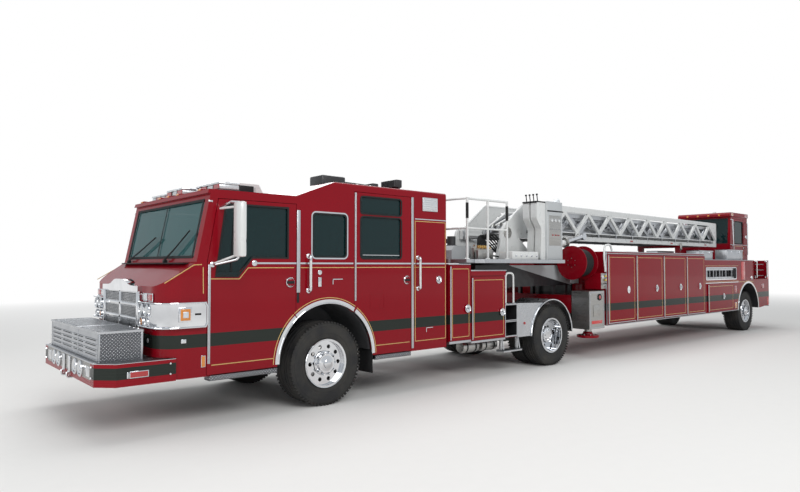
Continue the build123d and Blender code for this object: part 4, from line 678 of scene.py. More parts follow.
class Maker:
    """One piece. While its side is -1, it turns over every y that it is given, so it builds the left-hand twin."""

    def __init__(self, name, body, slot, finish, side=1):
        self.name, self.body, self.slot, self.side = name, body, slot, side
        self.points, self.faces, self.marks, self.finishes = [], [], [], []
        self.use(finish)

    def both(self):
        """A loop over this builds its shapes on the left side, and then on the right side."""
        for self.side in (-1, 1):
            yield self.side

    def at(self, x, y, z):
        return Vector((x, y * self.side, z))

    def use(self, finish):
        if finish not in self.finishes:
            self.finishes.append(finish)
        self.current = self.finishes.index(finish)
        return self

    def take(self, shape, at=None):
        if at:
            bmesh.ops.transform(shape, matrix=at, verts=shape.verts)
        bmesh.ops.recalc_face_normals(shape, faces=shape.faces)
        shape.verts.index_update()
        first = len(self.points)
        self.points += [vert.co.copy() for vert in shape.verts]
        self.faces += [[first + vert.index for vert in face.verts] for face in shape.faces]
        self.marks += [self.current] * len(shape.faces)
        shape.free()
        return self

    def box(self, x, y, z, edge=0.003):
        """A box with rounded edges, from its low and high x, y and z."""
        shape = bmesh.new()
        middle = self.at(*((a + b) / 2 for a, b in (x, y, z)))
        size = [abs(b - a) for a, b in (x, y, z)]
        matrix = Matrix.Translation(middle) @ Matrix.Diagonal((*size, 1.0))
        bmesh.ops.create_cube(shape, size=1.0, matrix=matrix)
        edge = min(edge, min(size) * 0.4)
        bmesh.ops.bevel(shape, geom=shape.edges[:], offset=edge, segments=2, affect="EDGES", profile=0.5)
        return self.take(shape)

    def plate(self, points, axis, span, edge=0.002, round_to=0.0):
        """An outline on the plane across an axis, extruded along that axis between two places."""
        order = {"x": (2, 0, 1), "y": (0, 2, 1), "z": (0, 1, 2)}[axis]
        shape = bmesh.new()
        rings = []
        for along in span:
            corners = [(a, b, along) for a, b in points]
            rings.append([shape.verts.new(self.at(*(corner[k] for k in order))) for corner in corners])
        low, high = rings
        shape.faces.new(low)
        shape.faces.new(high)
        sides = []
        for k in range(len(points)):
            after = (k + 1) % len(points)
            shape.faces.new((low[k], low[after], high[after], high[k]))
            sides.append(shape.edges.get((low[k], high[k])))
        if round_to:
            bmesh.ops.bevel(shape, geom=sides, offset=round_to, segments=4, affect="EDGES", profile=0.5)
        if edge:
            sharp = [e for e in shape.edges if len(e.link_faces) == 2 and e.calc_face_angle(0) > 0.6]
            bmesh.ops.bevel(shape, geom=sharp, offset=edge, segments=2, affect="EDGES", profile=0.5)
        return self.take(shape)

    def turned(self, profile, centre, axis, steps=28):
        """A turned solid: each pair of its profile is a radius and a distance along the axis from the centre."""
        shape = bmesh.new()
        middle, turn = self.at(*centre), self.at(*axis).to_track_quat("Z", "Y")
        rings = []
        for radius, along in profile:
            if radius < 1e-6:
                rings.append([shape.verts.new(middle + turn @ Vector((0, 0, along)))])
                continue
            angles = [2 * pi * k / steps for k in range(steps)]
            ring = [Vector((radius * cos(a), radius * sin(a), along)) for a in angles]
            rings.append([shape.verts.new(middle + turn @ point) for point in ring])
        for before, after in zip(rings, rings[1:]):
            for k in range(steps):
                n = (k + 1) % steps
                corners = [ring[i % len(ring)] for ring, i in ((before, k), (before, n), (after, n), (after, k))]
                unique = list(dict.fromkeys(corners))
                if len(unique) > 2:
                    shape.faces.new(unique)
        for end in (rings[0], rings[-1]):
            if len(end) > 1:
                shape.faces.new(end)
        return self.take(shape)

    def hoop(self, profile, centre, axis, steps=28):
        """A turned ring: its profile is a closed loop that never reaches the axis."""
        shape = bmesh.new()
        middle, turn = self.at(*centre), self.at(*axis).to_track_quat("Z", "Y")
        rings = []
        for k in range(steps):
            a = 2 * pi * k / steps
            ring = [Vector((radius * cos(a), radius * sin(a), along)) for radius, along in profile]
            rings.append([shape.verts.new(middle + turn @ point) for point in ring])
        for k, ring in enumerate(rings):
            after = rings[(k + 1) % steps]
            for n in range(len(profile)):
                m = (n + 1) % len(profile)
                shape.faces.new((ring[n], ring[m], after[m], after[n]))
        return self.take(shape)

    def ribbon(self, points, width, out, thick=0.0015, closed=False):
        """A flat strip along points, with mitred corners; it stands a little proud in the direction out."""
        points = [self.at(*point) for point in points]
        out = self.at(*out).normalized()
        count = len(points)
        shape = bmesh.new()
        rows = []
        for k, point in enumerate(points):
            before = points[k - 1] if k or closed else None
            after = points[(k + 1) % count] if k < count - 1 or closed else None
            ways = ([point - before] if before else []) + ([after - point] if after else [])
            across = [out.cross(way.normalized()) for way in ways]
            lean = sum(across, Vector()).normalized()
            lean = lean / max(lean.dot(across[0]), 0.3) * width / 2
            up = out * thick
            section = (point - lean, point + lean, point + lean + up, point - lean + up)
            rows.append([shape.verts.new(corner) for corner in section])
        for k in range(count if closed else count - 1):
            first, second = rows[k], rows[(k + 1) % count]
            for n in range(4):
                m = (n + 1) % 4
                shape.faces.new((first[n], first[m], second[m], second[n]))
        if not closed:
            shape.faces.new(rows[0])
            shape.faces.new(rows[-1])
        return self.take(shape)

    def tubes(self, paths, radius, bend=0.05, sides=12):
        """Round tubes along corner points, grown by the bent tube recipe."""
        points, edges = [], []
        for path in paths:
            first = len(points)
            points += [self.at(*point) for point in path]
            edges += [(first + k, first + k + 1) for k in range(len(path) - 1)]
        return self.grow(bent_tube, points=points, edges=edges, Radius=radius, Bend=bend, Sides=sides)

    def tube(self, path, *sizes):
        return self.tubes([path], *sizes)

    def grow(self, recipe, at=None, **sizes):
        """What a recipe grows from its sizes, in the finish in use."""
        return self.take(recipe.grow(self.finishes[self.current], **sizes), at)

    def row(self, recipe, count, start, step, **sizes):
        start, step = tuple(self.at(*start)), tuple(self.at(*step))
        return self.grow(recipe, Count=count, Start_at=start, Step=step, **sizes)

    def bars(self, count, start, step, size):
        """Equal bars: how many, the first one's centre, the step to the next, and the size along each axis."""
        return self.row(bar_row, count, start, step, Size=size)

    def pegs(self, count, start, step, radius, top, depth, axis, sides=10):
        """Equal pegs, each from its place along the axis, with a radius at its foot and one at its top."""
        turn = tuple(self.at(*axis).to_track_quat("Z", "Y").to_euler())
        return self.row(peg_row, count, start, step, Radius=radius, Top=top, Depth=depth, Sides=sides, Turn=turn)

    def nuts(self, at, count, ring, radius, top, depth, sides=6):
        """Nuts or bolt heads in a ring about a matrix's Z axis."""
        return self.grow(nut_ring, at, Count=count, Ring=ring, Radius=radius, Top=top, Depth=depth, Sides=sides)

    def done(self):
        """Make the piece, and give it to its body."""
        mesh = bpy.data.meshes.new(self.name)
        mesh.from_pydata(self.points, [], self.faces)
        for finish in self.finishes:
            mesh.materials.append(finish)
        mesh.polygons.foreach_set("material_index", self.marks)
        mesh.shade_smooth()
        mesh.set_sharp_from_angle(angle=SMOOTH_TO)
        mesh.update()
        piece = bpy.data.objects.new(self.name, mesh)
        bpy.context.scene.collection.objects.link(piece)
        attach(piece, self.body)
        print(self.name, "on", self.body, len(mesh.polygons), "faces")
        return piece


# The directions that pieces are set along. Outward is to the right, and a left-hand maker turns it round.
OUTWARD, UPWARD, REARWARD, FORWARD = (0, 1, 0), (0, 0, 1), (1, 0, 0), (-1, 0, 0)


def about(place, half):
    """The span that reaches as far below a place as above it."""
    return (place - half, place + half)


def wider(span, by):
    """A span with a border at each end."""
    return (span[0] - by, span[1] + by)


def beyond(place, *steps):
    """Places at the given steps from one place."""
    return tuple(place + step for step in steps)


def dome(foot, shoulder, side, height):
    """A low dome's profile: the radius at its foot and shoulder, and how far out its shoulder and top are."""
    return [(foot, 0), (shoulder, side), (0, height)]


def flange(foot, edge, top, height):
    """The profile of a flat round foot with a bevelled edge."""
    return [(foot, 0), (foot, edge), (top, height), (0, height)]


def rim(inner, outer, outer_height, inner_height):
    """The section of a flat ring, for a hoop."""
    return [(inner, 0), (outer, 0), (outer, outer_height), (inner, inner_height)]


def arc(centre, radius, start, end, steps, y):
    """Points of an arc at one y; angles in degrees from +X up towards +Z."""
    turns = [radians(start + (end - start) * k / steps) for k in range(steps + 1)]
    return [(centre[0] + radius * cos(a), y, centre[1] + radius * sin(a)) for a in turns]


# %% [markdown]
# The tyres carry real grooves, shoulder lugs and sidewall rings, which a plain ring in the model lacks. Each wheel is
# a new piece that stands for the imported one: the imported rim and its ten-hole disc are copied as they are, the tyre is
# a turned profile, and the lugs and the chromed wheel nuts repeat round a circle.

# %% Wheels
AXLES = {"front": -6.365, "drive": -1.505, "tiller": 7.535}
TYRE_R = 0.536
RIM_R = 0.298
WHEEL_SETS = {
    "front": {"outer": 1.19, "width": 0.385, "twins": 1, "dish": 0.055},
    "drive": {"outer": 1.205, "width": 0.28, "twins": 2, "dish": 0.215},
    "tiller": {"outer": 1.19, "width": 0.385, "twins": 1, "dish": 0.055},
}
TWIN_GAP = 0.03
GROOVE = 0.011
LUGS = 66


def tyre_profile(width):
    """The tyre's section: pairs of a radius and a distance from its middle, made for one half and mirrored."""
    half = width / 2
    tread = half * 0.80
    rows = [(TYRE_R, 0.0)]
    for centre in (tread * 0.28, tread * 0.66):
        rows += [(TYRE_R, centre - 0.009), (TYRE_R - GROOVE, centre - 0.006), (TYRE_R - GROOVE, centre + 0.006)]
        rows += [(TYRE_R, centre + 0.009)]
    rows += [
        (TYRE_R - 0.002, tread),
        (TYRE_R - 0.016, half - 0.016),
        (TYRE_R - 0.045, half - 0.004),
        (TYRE_R - 0.060, half - 0.006),
        (TYRE_R - 0.064, half - 0.002),
        (TYRE_R - 0.110, half),
        (TYRE_R - 0.150, half - 0.001),
        (TYRE_R - 0.154, half - 0.005),
        (TYRE_R - 0.170, half - 0.006),
        (TYRE_R - 0.174, half - 0.003),
        (RIM_R + 0.034, half - 0.010),
        (RIM_R + 0.018, half - 0.020),
        (RIM_R + 0.004, half - 0.024),
    ]
    other = [(radius, -along) for radius, along in rows[1:]]
    return list(reversed(rows)) + other


def add_tyre(maker, axle, middle, width):
    maker.use(TYRE)
    maker.hoop(tyre_profile(width), (axle, middle, TYRE_R), OUTWARD, 96)
    upright = Matrix.Translation((axle, middle, TYRE_R)) @ Matrix.Rotation(pi / 2, 4, "X")
    shoulder = width / 2 * 0.88
    for sign in (-1, 1):
        lugs = lug_ring.grow(TYRE, Count=LUGS, Ring=TYRE_R - 0.012, Size=(0.020, 0.024, width * 0.13))
        maker.take(lugs, upright @ Matrix.Translation((0, 0, sign * shoulder)))


def add_rim(maker, kind, hand):
    """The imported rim: its faces are those within the bead's radius, merged from loose triangles."""
    axle = AXLES[kind]
    maker.use(CHROME)
    copy = bmesh.new()
    copy.from_mesh(nodes[f"wheel_{kind}_{hand}"].data)
    bmesh.ops.remove_doubles(copy, verts=copy.verts, dist=1e-5)
    far = [v for v in copy.verts if hypot(v.co.x - axle, v.co.z - TYRE_R) > RIM_R + 0.001]
    bmesh.ops.delete(copy, geom=far, context="VERTS")
    maker.take(copy)


def dress_wheel(maker, kind, side):
    size = WHEEL_SETS[kind]
    axle = AXLES[kind]
    outer = side * size["outer"]
    disc = side * (size["outer"] - size["dish"])
    hub = (axle, disc, TYRE_R)
    way = (0, side, 0)
    maker.use(CHROME)
    lip = [(RIM_R - 0.016, -0.030), (RIM_R - 0.004, -0.004), (RIM_R + 0.012, 0.000), (RIM_R + 0.016, -0.006)]
    lip += [(RIM_R + 0.013, -0.014), (RIM_R + 0.002, -0.018), (RIM_R - 0.006, -0.034)]
    maker.hoop(lip, (axle, outer, TYRE_R), way, 72)
    maker.hoop([(0.150, -0.002), (0.158, 0.010), (0.150, 0.016), (0.118, 0.018), (0.110, 0.0)], hub, way, 48)
    reach = 0.062 if size["dish"] < 0.1 else 0.130
    cap = [(0.108, 0.0), (0.106, reach - 0.02), (0.098, reach), (0.060, reach + 0.012), (0.056, reach + 0.022)]
    cap += [(0.036, reach + 0.034), (0.0, reach + 0.036)]
    if size["dish"] > 0.1:
        cap = [(0.118, 0.0), (0.116, reach - 0.03), (0.130, reach - 0.024), (0.130, reach - 0.006)]
        cap += [(0.112, reach), (0.070, reach + 0.006), (0.0, reach + 0.008)]
    maker.turned(cap, hub, way, 40)
    turn = Vector(way).to_track_quat("Z", "Y").to_matrix().to_4x4()
    at = Matrix.Translation(hub) @ turn
    maker.nuts(at @ Matrix.Translation((0, 0, 0.024)), 10, 0.140, 0.019, 0.011, 0.046, 8)
    if size["dish"] > 0.1:
        maker.nuts(at @ Matrix.Translation((0, 0, reach + 0.006)), 8, 0.090, 0.010, 0.009, 0.012)


for kind, size in WHEEL_SETS.items():
    for hand, side in HANDS:
        maker = Maker(f"wheel_dressed_{kind}_{hand}", f"wheel_{kind}_{hand}", "tyre", TYRE)
        for turn in range(size["twins"]):
            middle = side * (size["outer"] - size["width"] / 2 - turn * (size["width"] + TWIN_GAP))
            add_tyre(maker, AXLES[kind], middle, size["width"])
        add_rim(maker, kind, hand)
        dress_wheel(maker, kind, side)
        piece = maker.done()
        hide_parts(f"wheel_{kind}_{hand}")

# %% [markdown]
# The nose: a chrome grille frame with a bell-shaped crown, wire mesh in its openings, and a lamp band that wraps
# round both corners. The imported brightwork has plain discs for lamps, so it is copied without them, and lamps with
# a chrome bezel and a domed lens are turned and set in the band.

# %% Lamps: a round one, and oblong ones for a side and for the front


def round_lamp(maker, centre, axis, radius, lens_finish, depth=0.022):
    """A chrome bezel round a domed lens, both turned about the axis."""
    maker.use(CHROME)
    bezel = [(radius, -0.004), (radius, depth * 0.7), (radius * 0.93, depth), (radius * 0.84, depth * 0.8)]
    maker.hoop(bezel + [(radius * 0.80, 0)], centre, axis, 32)
    maker.use(lens_finish)
    dome = [(radius * 0.84, -0.002), (radius * 0.83, depth * 0.40), (radius * 0.62, depth * 0.66)]
    dome += [(radius * 0.34, depth * 0.80), (0.0, depth * 0.84)]
    maker.turned(dome, centre, axis, 32)


def side_lamp(maker, x, z, y, lens_finish, border=0.010, proud=0.014):
    """An oblong lamp with a chrome bezel on a side face; x and z are its low and high edges."""
    maker.use(CHROME)
    maker.box(wider(x, border), (y, y + proud * 0.7), wider(z, border), 0.005)
    maker.use(lens_finish)
    maker.box(x, (y + 0.002, y + proud), z, 0.006)


def front_lamp(maker, y, z, x, lens_finish, border=0.010, proud=0.014):
    """The same lamp on a face that looks forward."""
    maker.use(CHROME)
    maker.box((x - proud * 0.7, x), wider(y, border), wider(z, border), 0.005)
    maker.use(lens_finish)
    maker.box((x - proud, x - 0.002), y, z, 0.006)


# %% Grille and lamp bands
GRILLE_X = -8.53
ROWS = (1.105, 1.265, 1.425)


def on_disc(x, y, z):
    """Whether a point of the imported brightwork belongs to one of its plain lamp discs."""
    near = min(hypot(abs(y) - lamp_y, z - 1.25) for lamp_y in (0.765, 0.94))
    return x < -8.534 or (abs(y) > 0.68 and -8.5325 < x < -8.5315 and near < 0.0818)


maker = Maker("nose_brightwork", "tractor", "polished", CHROME)
copy = bmesh.new()
copy.from_mesh(nodes["front_chrome"].data)
bmesh.ops.remove_doubles(copy, verts=copy.verts, dist=1e-5)
bmesh.ops.delete(copy, geom=[v for v in copy.verts if on_disc(*v.co)], context="VERTS")
bmesh.ops.holes_fill(copy, edges=copy.edges, sides=0)
maker.take(copy)
bell = [
    (-0.655, 1.495), (-0.655, 1.556), (-0.40, 1.562), (-0.33, 1.572), (-0.26, 1.600), (-0.20, 1.620),
    (-0.12, 1.630),
]
bell = bell + [(-y, z) for y, z in reversed(bell)]
maker.plate(bell, "x", beyond(GRILLE_X, -0.020, 0.075), 0.006)
for _ in maker.both():
    maker.box(beyond(GRILLE_X, -0.014, 0.02), (0.582, 0.652), (0.985, 1.50), 0.010)
    for z in ROWS:
        maker.use(SEAL)
        maker.box(beyond(GRILLE_X, 0.010, 0.020), (0.03, 0.58), about(z, 0.056), 0.001)
        maker.use(ALUMINIUM)
        maker.bars(32, (GRILLE_X + 0.006, 0.036, z), (0, 0.0172, 0), (0.003, 0.0045, 0.112))
        maker.bars(7, (GRILLE_X + 0.004, 0.305, z - 0.051), (0, 0, 0.017), (0.003, 0.548, 0.0045))
        maker.use(CHROME)
for z in (1.025, 1.185, 1.345, 1.495):
    maker.box(beyond(GRILLE_X, -0.012, 0.01), (-0.60, 0.60), about(z, 0.020), 0.009)
maker.box(beyond(GRILLE_X, -0.012, 0.01), (-0.028, 0.028), (0.985, 1.50), 0.009)
for _ in maker.both():
    maker.use(CHROME)
    for z in (1.118, 1.382):
        band = [(-8.540, 0.662, z), (-8.540, 1.04, z)]
        band += [(-8.54 + 0.215 * (1 - cos(a)), 1.045 + 0.215 * sin(a), z) for a in (0.4, 0.8, 1.2, pi / 2)]
        band += [(-8.02, 1.26, z)]
        maker.tube(band, 0.010, 0.02, 8)
    band_end = [(-8.015, 1.258, 1.118), (-7.995, 1.258, 1.16), (-7.995, 1.258, 1.34), (-8.015, 1.258, 1.382)]
    maker.tube(band_end, 0.010, 0.02, 8)
    for n, y in enumerate((0.765, 0.925)):
        round_lamp(maker, (-8.532, y, 1.305), FORWARD, 0.070, CLEAR_LENS)
        round_lamp(maker, (-8.532, y, 1.172), FORWARD, 0.048, CLEAR_LENS if n else AMBER_LENS, 0.016)
    maker.use(CHROME).box((-8.543, -8.525), (0.672, 1.012), (1.236, 1.240), 0.001)
    side_lamp(maker, (-8.30, -8.19), (1.195, 1.320), 1.252, AMBER_LENS, 0.018, 0.020)
    maker.use(CLEAR_LENS).box((-8.275, -8.215), (1.27, 1.276), (1.225, 1.290), 0.004)
    maker.use(SEAL).box((-8.135, -8.065), (1.250, 1.2545), (1.247, 1.268), 0.001)
    front_lamp(maker, (0.70, 0.83), (1.405, 1.475), -8.500, CLEAR_LENS)
    front_lamp(maker, (0.87, 1.00), (1.405, 1.475), -8.500, RED_LENS)
    maker.use(CLEAR_LENS).turned([(0.0, 0.008), (0.02, 0.006), (0.024, 0.0)], (-8.50, 0.86, 0.965), FORWARD, 20)
    side_lamp(maker, (-8.045, -8.005), (0.675, 0.790), 1.220, AMBER_LENS, 0.006, 0.010)
    side_lamp(maker, (-8.270, -8.225), (0.955, 0.985), 1.220, CLEAR_LENS, 0.006, 0.008)
piece = maker.done()
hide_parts("front_chrome")

# %% [markdown]
# The bumper carries siren horns, tow eyes, marker lamps and bolts, and its louvred tray has a latch on its lid and
# polished edge strips. All are small, fixed parts, so they are one piece on the tractor and one on the lid.

# %% Bumper and tray trim
maker = Maker("bumper_trim", "tractor", "polished", CHROME)
for _ in maker.both():
    for y in (0.36, 0.57):
        maker.use(CHROME)
        horn = [(0.088, -0.002), (0.088, 0.010), (0.078, 0.018), (0.070, 0.014), (0.040, 0.004), (0.030, 0.004)]
        maker.turned(horn + [(0.026, 0.016), (0.0, 0.020)], (-9.10, y, 0.692), FORWARD, 36)
        maker.use(SEAL)
        maker.pegs(3, (-9.112, y, 0.640), (0, 0, 0.0), 0.008, 0.006, 0.006, FORWARD, 8)
    maker.use(CHROME)
    maker.box((-9.112, -9.10), (0.07, 0.17), (0.60, 0.78), 0.004)
    tow_eye = [(-9.10, 0.12, 0.600), (-9.128, 0.12, 0.600), (-9.128, 0.12, 0.545), (-9.07, 0.12, 0.545)]
    maker.tube(tow_eye, 0.013, 0.02, 10)
    maker.box((-9.103, -9.098), (0.74, 0.90), (0.640, 0.750), 0.002)
    maker.pegs(2, (-9.104, 0.98, 0.640), (0, 0, 0.11), 0.012, 0.009, 0.012, FORWARD)
    maker.pegs(2, (-8.390, 1.226, 0.640), (0, 0, 0.11), 0.014, 0.010, 0.012, OUTWARD)
    side_lamp(maker, (-8.80, -8.62), (0.645, 0.700), 1.220, RED_LENS, 0.008, 0.014)
    maker.use(CHROME).box((-8.835, -8.815), (1.218, 1.238), (0.640, 0.705), 0.006)
    maker.use(ALUMINIUM)
    for x in ((-9.045, -9.028), (-8.622, -8.600)):
        maker.box(x, (0.985, 1.006), (0.795, 1.085), 0.003)
maker.use(SATIN)
maker.box((-9.104, -9.072), (-1.045, 1.045), (0.786, 0.802), 0.003)
maker.box((-9.049, -9.040), (-0.245, -0.215), (0.80, 1.082), 0.002)
for z in (0.815, 0.867, 0.919, 0.971, 1.023):
    maker.box((-9.054, -9.040), (-0.99, 0.99), about(z, 0.004), 0.002)
maker.use(SEAL)
for _ in maker.both():
    maker.tube([(-8.50, 0.55, 0.80), (-8.56, 0.55, 0.80), (-8.58, 0.62, 0.80)], 0.02, 0.02)
maker.done()

maker = Maker("tray_lid_trim", "tray_lid", "aluminium", CHROME)
maker.box((-9.055, -9.045), (-0.06, 0.06), (1.078, 1.106), 0.003)
maker.use(ALUMINIUM)
maker.box((-9.060, -8.590), (-0.236, -0.224), (1.104, 1.111), 0.002)
maker.use(CHROME)
for x in (-8.62, -9.03):
    maker.pegs(14, (x, -0.91, 1.108), (0, 0.14, 0), 0.008, 0.005, 0.006, UPWARD, 8)
maker.done()

# %% [markdown]
# The windscreen sits in a black rubber seal, with two pantograph wipers at its foot. Both are built on the glass
# plane, so a small function turns a height on the screen into its x.

# %% Screen seal, wipers and front markers
SCREEN_FOOT = (-8.11, 1.83)
SCREEN_HEAD = (-7.955, 2.60)
GLASS_Z = (1.885, 2.528)
GLASS_HALF = 1.075
BROW_LAMPS = (-0.95, -0.3, 0.0, 0.3, 0.95)


def on_screen(y, z, off=0.0):
    share = (z - SCREEN_FOOT[1]) / (SCREEN_HEAD[1] - SCREEN_FOOT[1])
    return (SCREEN_FOOT[0] + share * (SCREEN_HEAD[0] - SCREEN_FOOT[0]) - off, y, z)


maker = Maker("screen_trim", "tractor", "grey_plastic", SEAL)
low, high = GLASS_Z
corners = [(-GLASS_HALF, low), (GLASS_HALF, low), (GLASS_HALF, high), (-GLASS_HALF, high)]
face_out = Vector((-0.98, 0, 0.198))
maker.ribbon([on_screen(*corner) for corner in corners], 0.030, face_out, 0.006, closed=True)
maker.ribbon([on_screen(0, low), on_screen(0, high)], 0.018, face_out, 0.004)
maker.box((-8.20, -8.13), (-1.06, 1.06), (1.806, 1.822), 0.004)
for pivot_y, tip in ((-0.38, (-0.92, 2.18)), (0.92, (0.12, 2.14))):
    foot = Vector(on_screen(pivot_y, 1.84, 0.045))
    end = Vector(on_screen(tip[0], tip[1], 0.035))
    second = foot + Vector((0, 0.05, 0))
    arms = [[foot, foot.lerp(end, 0.55)], [second, foot.lerp(end, 0.52)], [foot.lerp(end, 0.5), end]]
    maker.tubes(arms, 0.007, 0.01, 8)
    across = (end - foot).normalized().cross(face_out).normalized()
    blade = [foot.lerp(end, share) + face_out * 0.012 + across * 0.02 for share in (0.35, 1.05)]
    maker.tube(blade, 0.009, 0.0, 6)
    maker.turned([(0.022, -0.03), (0.022, 0.012), (0.0, 0.016)], foot, face_out, 20)
maker.use(RED_PLAIN)
for y in BROW_LAMPS:
    maker.box((-7.975, -7.905), about(y, 0.055), (2.642, 2.672), 0.010)
maker.use(AMBER_LENS)
for y in BROW_LAMPS:
    maker.box((-7.982, -7.93), about(y, 0.042), (2.646, 2.668), 0.008)
maker.done()

# %% [markdown]
# The cab sides carry a chrome belt and gold pinstripes that cross doors and fixed panels. Each run is cut where a
# door begins, so that the trim swings with its door. The stripes are thin mitred ribbons laid on the panel.

# %% Cab sides
SIDE_Y = 1.2205
SKIN_Y = 1.2195
PANEL_Y = 1.219
HANDLE_Z = 1.583
FRONT_DOOR = (-7.985, -6.845)
CREW_DOOR = (-5.945, -4.935)
BELT_Z = 1.816
GOLD_Z = 1.762
ARCH = (AXLES["front"], 0.59)
ARCH_R = 0.715
STRIPE = 0.009


def stripe(maker, points, width=STRIPE, y=SIDE_Y, finish=GOLD_LEAF, thick=0.0016, closed=False):
    """A flat strip on a side face, along points of x and z."""
    maker.use(finish)
    maker.ribbon([(x, y, z) for x, z in points], width, OUTWARD, thick, closed)


def rounded_frame(maker, x, z, y, radius, width, finish, thick=0.006):
    """A window or panel frame with round corners, laid on a side face."""
    (left, right), (low, high) = wider(x, -radius), wider(z, -radius)
    points = []
    for centre, start in (((right, high), 0), ((left, high), 90), ((left, low), 180), ((right, low), 270)):
        points += [(px, pz) for px, _, pz in arc(centre, radius, start, start + 90, 5, 0)]
    stripe(maker, points, width, y, finish, thick, closed=True)


def gold_frame(maker, x, z, y):
    rounded_frame(maker, x, z, y, 0.012, STRIPE, GOLD_LEAF, 0.0015)


def round_latch(maker, x, z, y, radius):
    """A flush paddle latch: a chrome dish with a raised ring and a folding D handle across it."""
    maker.use(CHROME)
    dish = [(radius, 0.0), (radius, 0.010), (radius * 0.90, 0.014), (radius * 0.80, 0.008), (radius * 0.45, 0.005)]
    maker.turned(dish + [(0, 0.005)], (x, y, z), OUTWARD, 32)
    (left, right), high, low = about(x, radius * 0.5), z + radius * 0.3, z - radius * 0.4
    handle = [(left, y + 0.008, high), (left, y + 0.018, low), (right, y + 0.018, low), (right, y + 0.008, high)]
    maker.tube(handle, 0.0055, 0.01, 8)
    maker.use(SEAL)
    maker.turned([(0.010, 0.004), (0.010, 0.009), (0.0, 0.009)], (x, y, z + radius * 0.1), OUTWARD, 12)


def door_handle(maker, x):
    """A cab door's handle: a chrome dish with a black grip across it."""
    dish = [(0.060, 0.0), (0.060, 0.014), (0.050, 0.022), (0.042, 0.012), (0.0, 0.010)]
    maker.use(CHROME).turned(dish, (x, SIDE_Y, HANDLE_Z), OUTWARD, 32)
    maker.use(SEAL).box((x - 0.055, x + 0.045), (1.232, 1.250), about(HANDLE_Z, 0.017), 0.008)


def piano_hinge(maker, x, z, y, width):
    """A long hinge: a leaf, a rolled edge and its row of screws."""
    maker.use(SATIN)
    maker.box((x - width / 2, x + width / 2), (y - 0.002, y + 0.004), z, 0.001)
    maker.tube([(x + width / 2, y + 0.003, z[0]), (x + width / 2, y + 0.003, z[1])], 0.006, 0.0, 8)
    count = max(2, int((z[1] - z[0]) / 0.10))
    step = (z[1] - z[0] - 0.04) / (count - 1)
    maker.pegs(count, (x - width * 0.15, y + 0.005, z[0] + 0.02), (0, 0, step), 0.0045, 0.003, 0.003, OUTWARD, 8)


def grab_rail(maker, x, z, y, stand=0.055, radius=0.016):
    """An upright white rail on two chrome elbows."""
    maker.use(WHITE)
    maker.tube([(x, y + stand, z[0] + 0.03), (x, y + stand, z[1] - 0.03)], radius, 0.0, 14)
    maker.use(CHROME)
    for end, way in ((z[0], 1), (z[1], -1)):
        elbow = [(x, y + 0.004, end), (x, y + stand, end), (x, y + stand, end + way * 0.055)]
        maker.tube(elbow, radius * 1.15, 0.02, 12)
        maker.turned(flange(radius * 2, 0.006, radius * 1.2, 0.014), (x, y, end), OUTWARD, 20)


def arch_trim(maker, centre, radius, start, end, y=SIDE_Y, width=0.050, steps=24):
    """A wheel arch's bright lip from one angle to another, with a gold stripe round it."""
    maker.use(CHROME)
    maker.ribbon(arc(centre, radius + width / 2, start, end, steps, y), width, OUTWARD, 0.008)
    maker.tube(arc(centre, radius + 0.004, start, end, steps, y + 0.006), 0.010, 0.0, 8)
    maker.use(GOLD_LEAF)
    maker.ribbon(arc(centre, radius + width + 0.022, start, end, steps, y), STRIPE, OUTWARD, 0.0016)


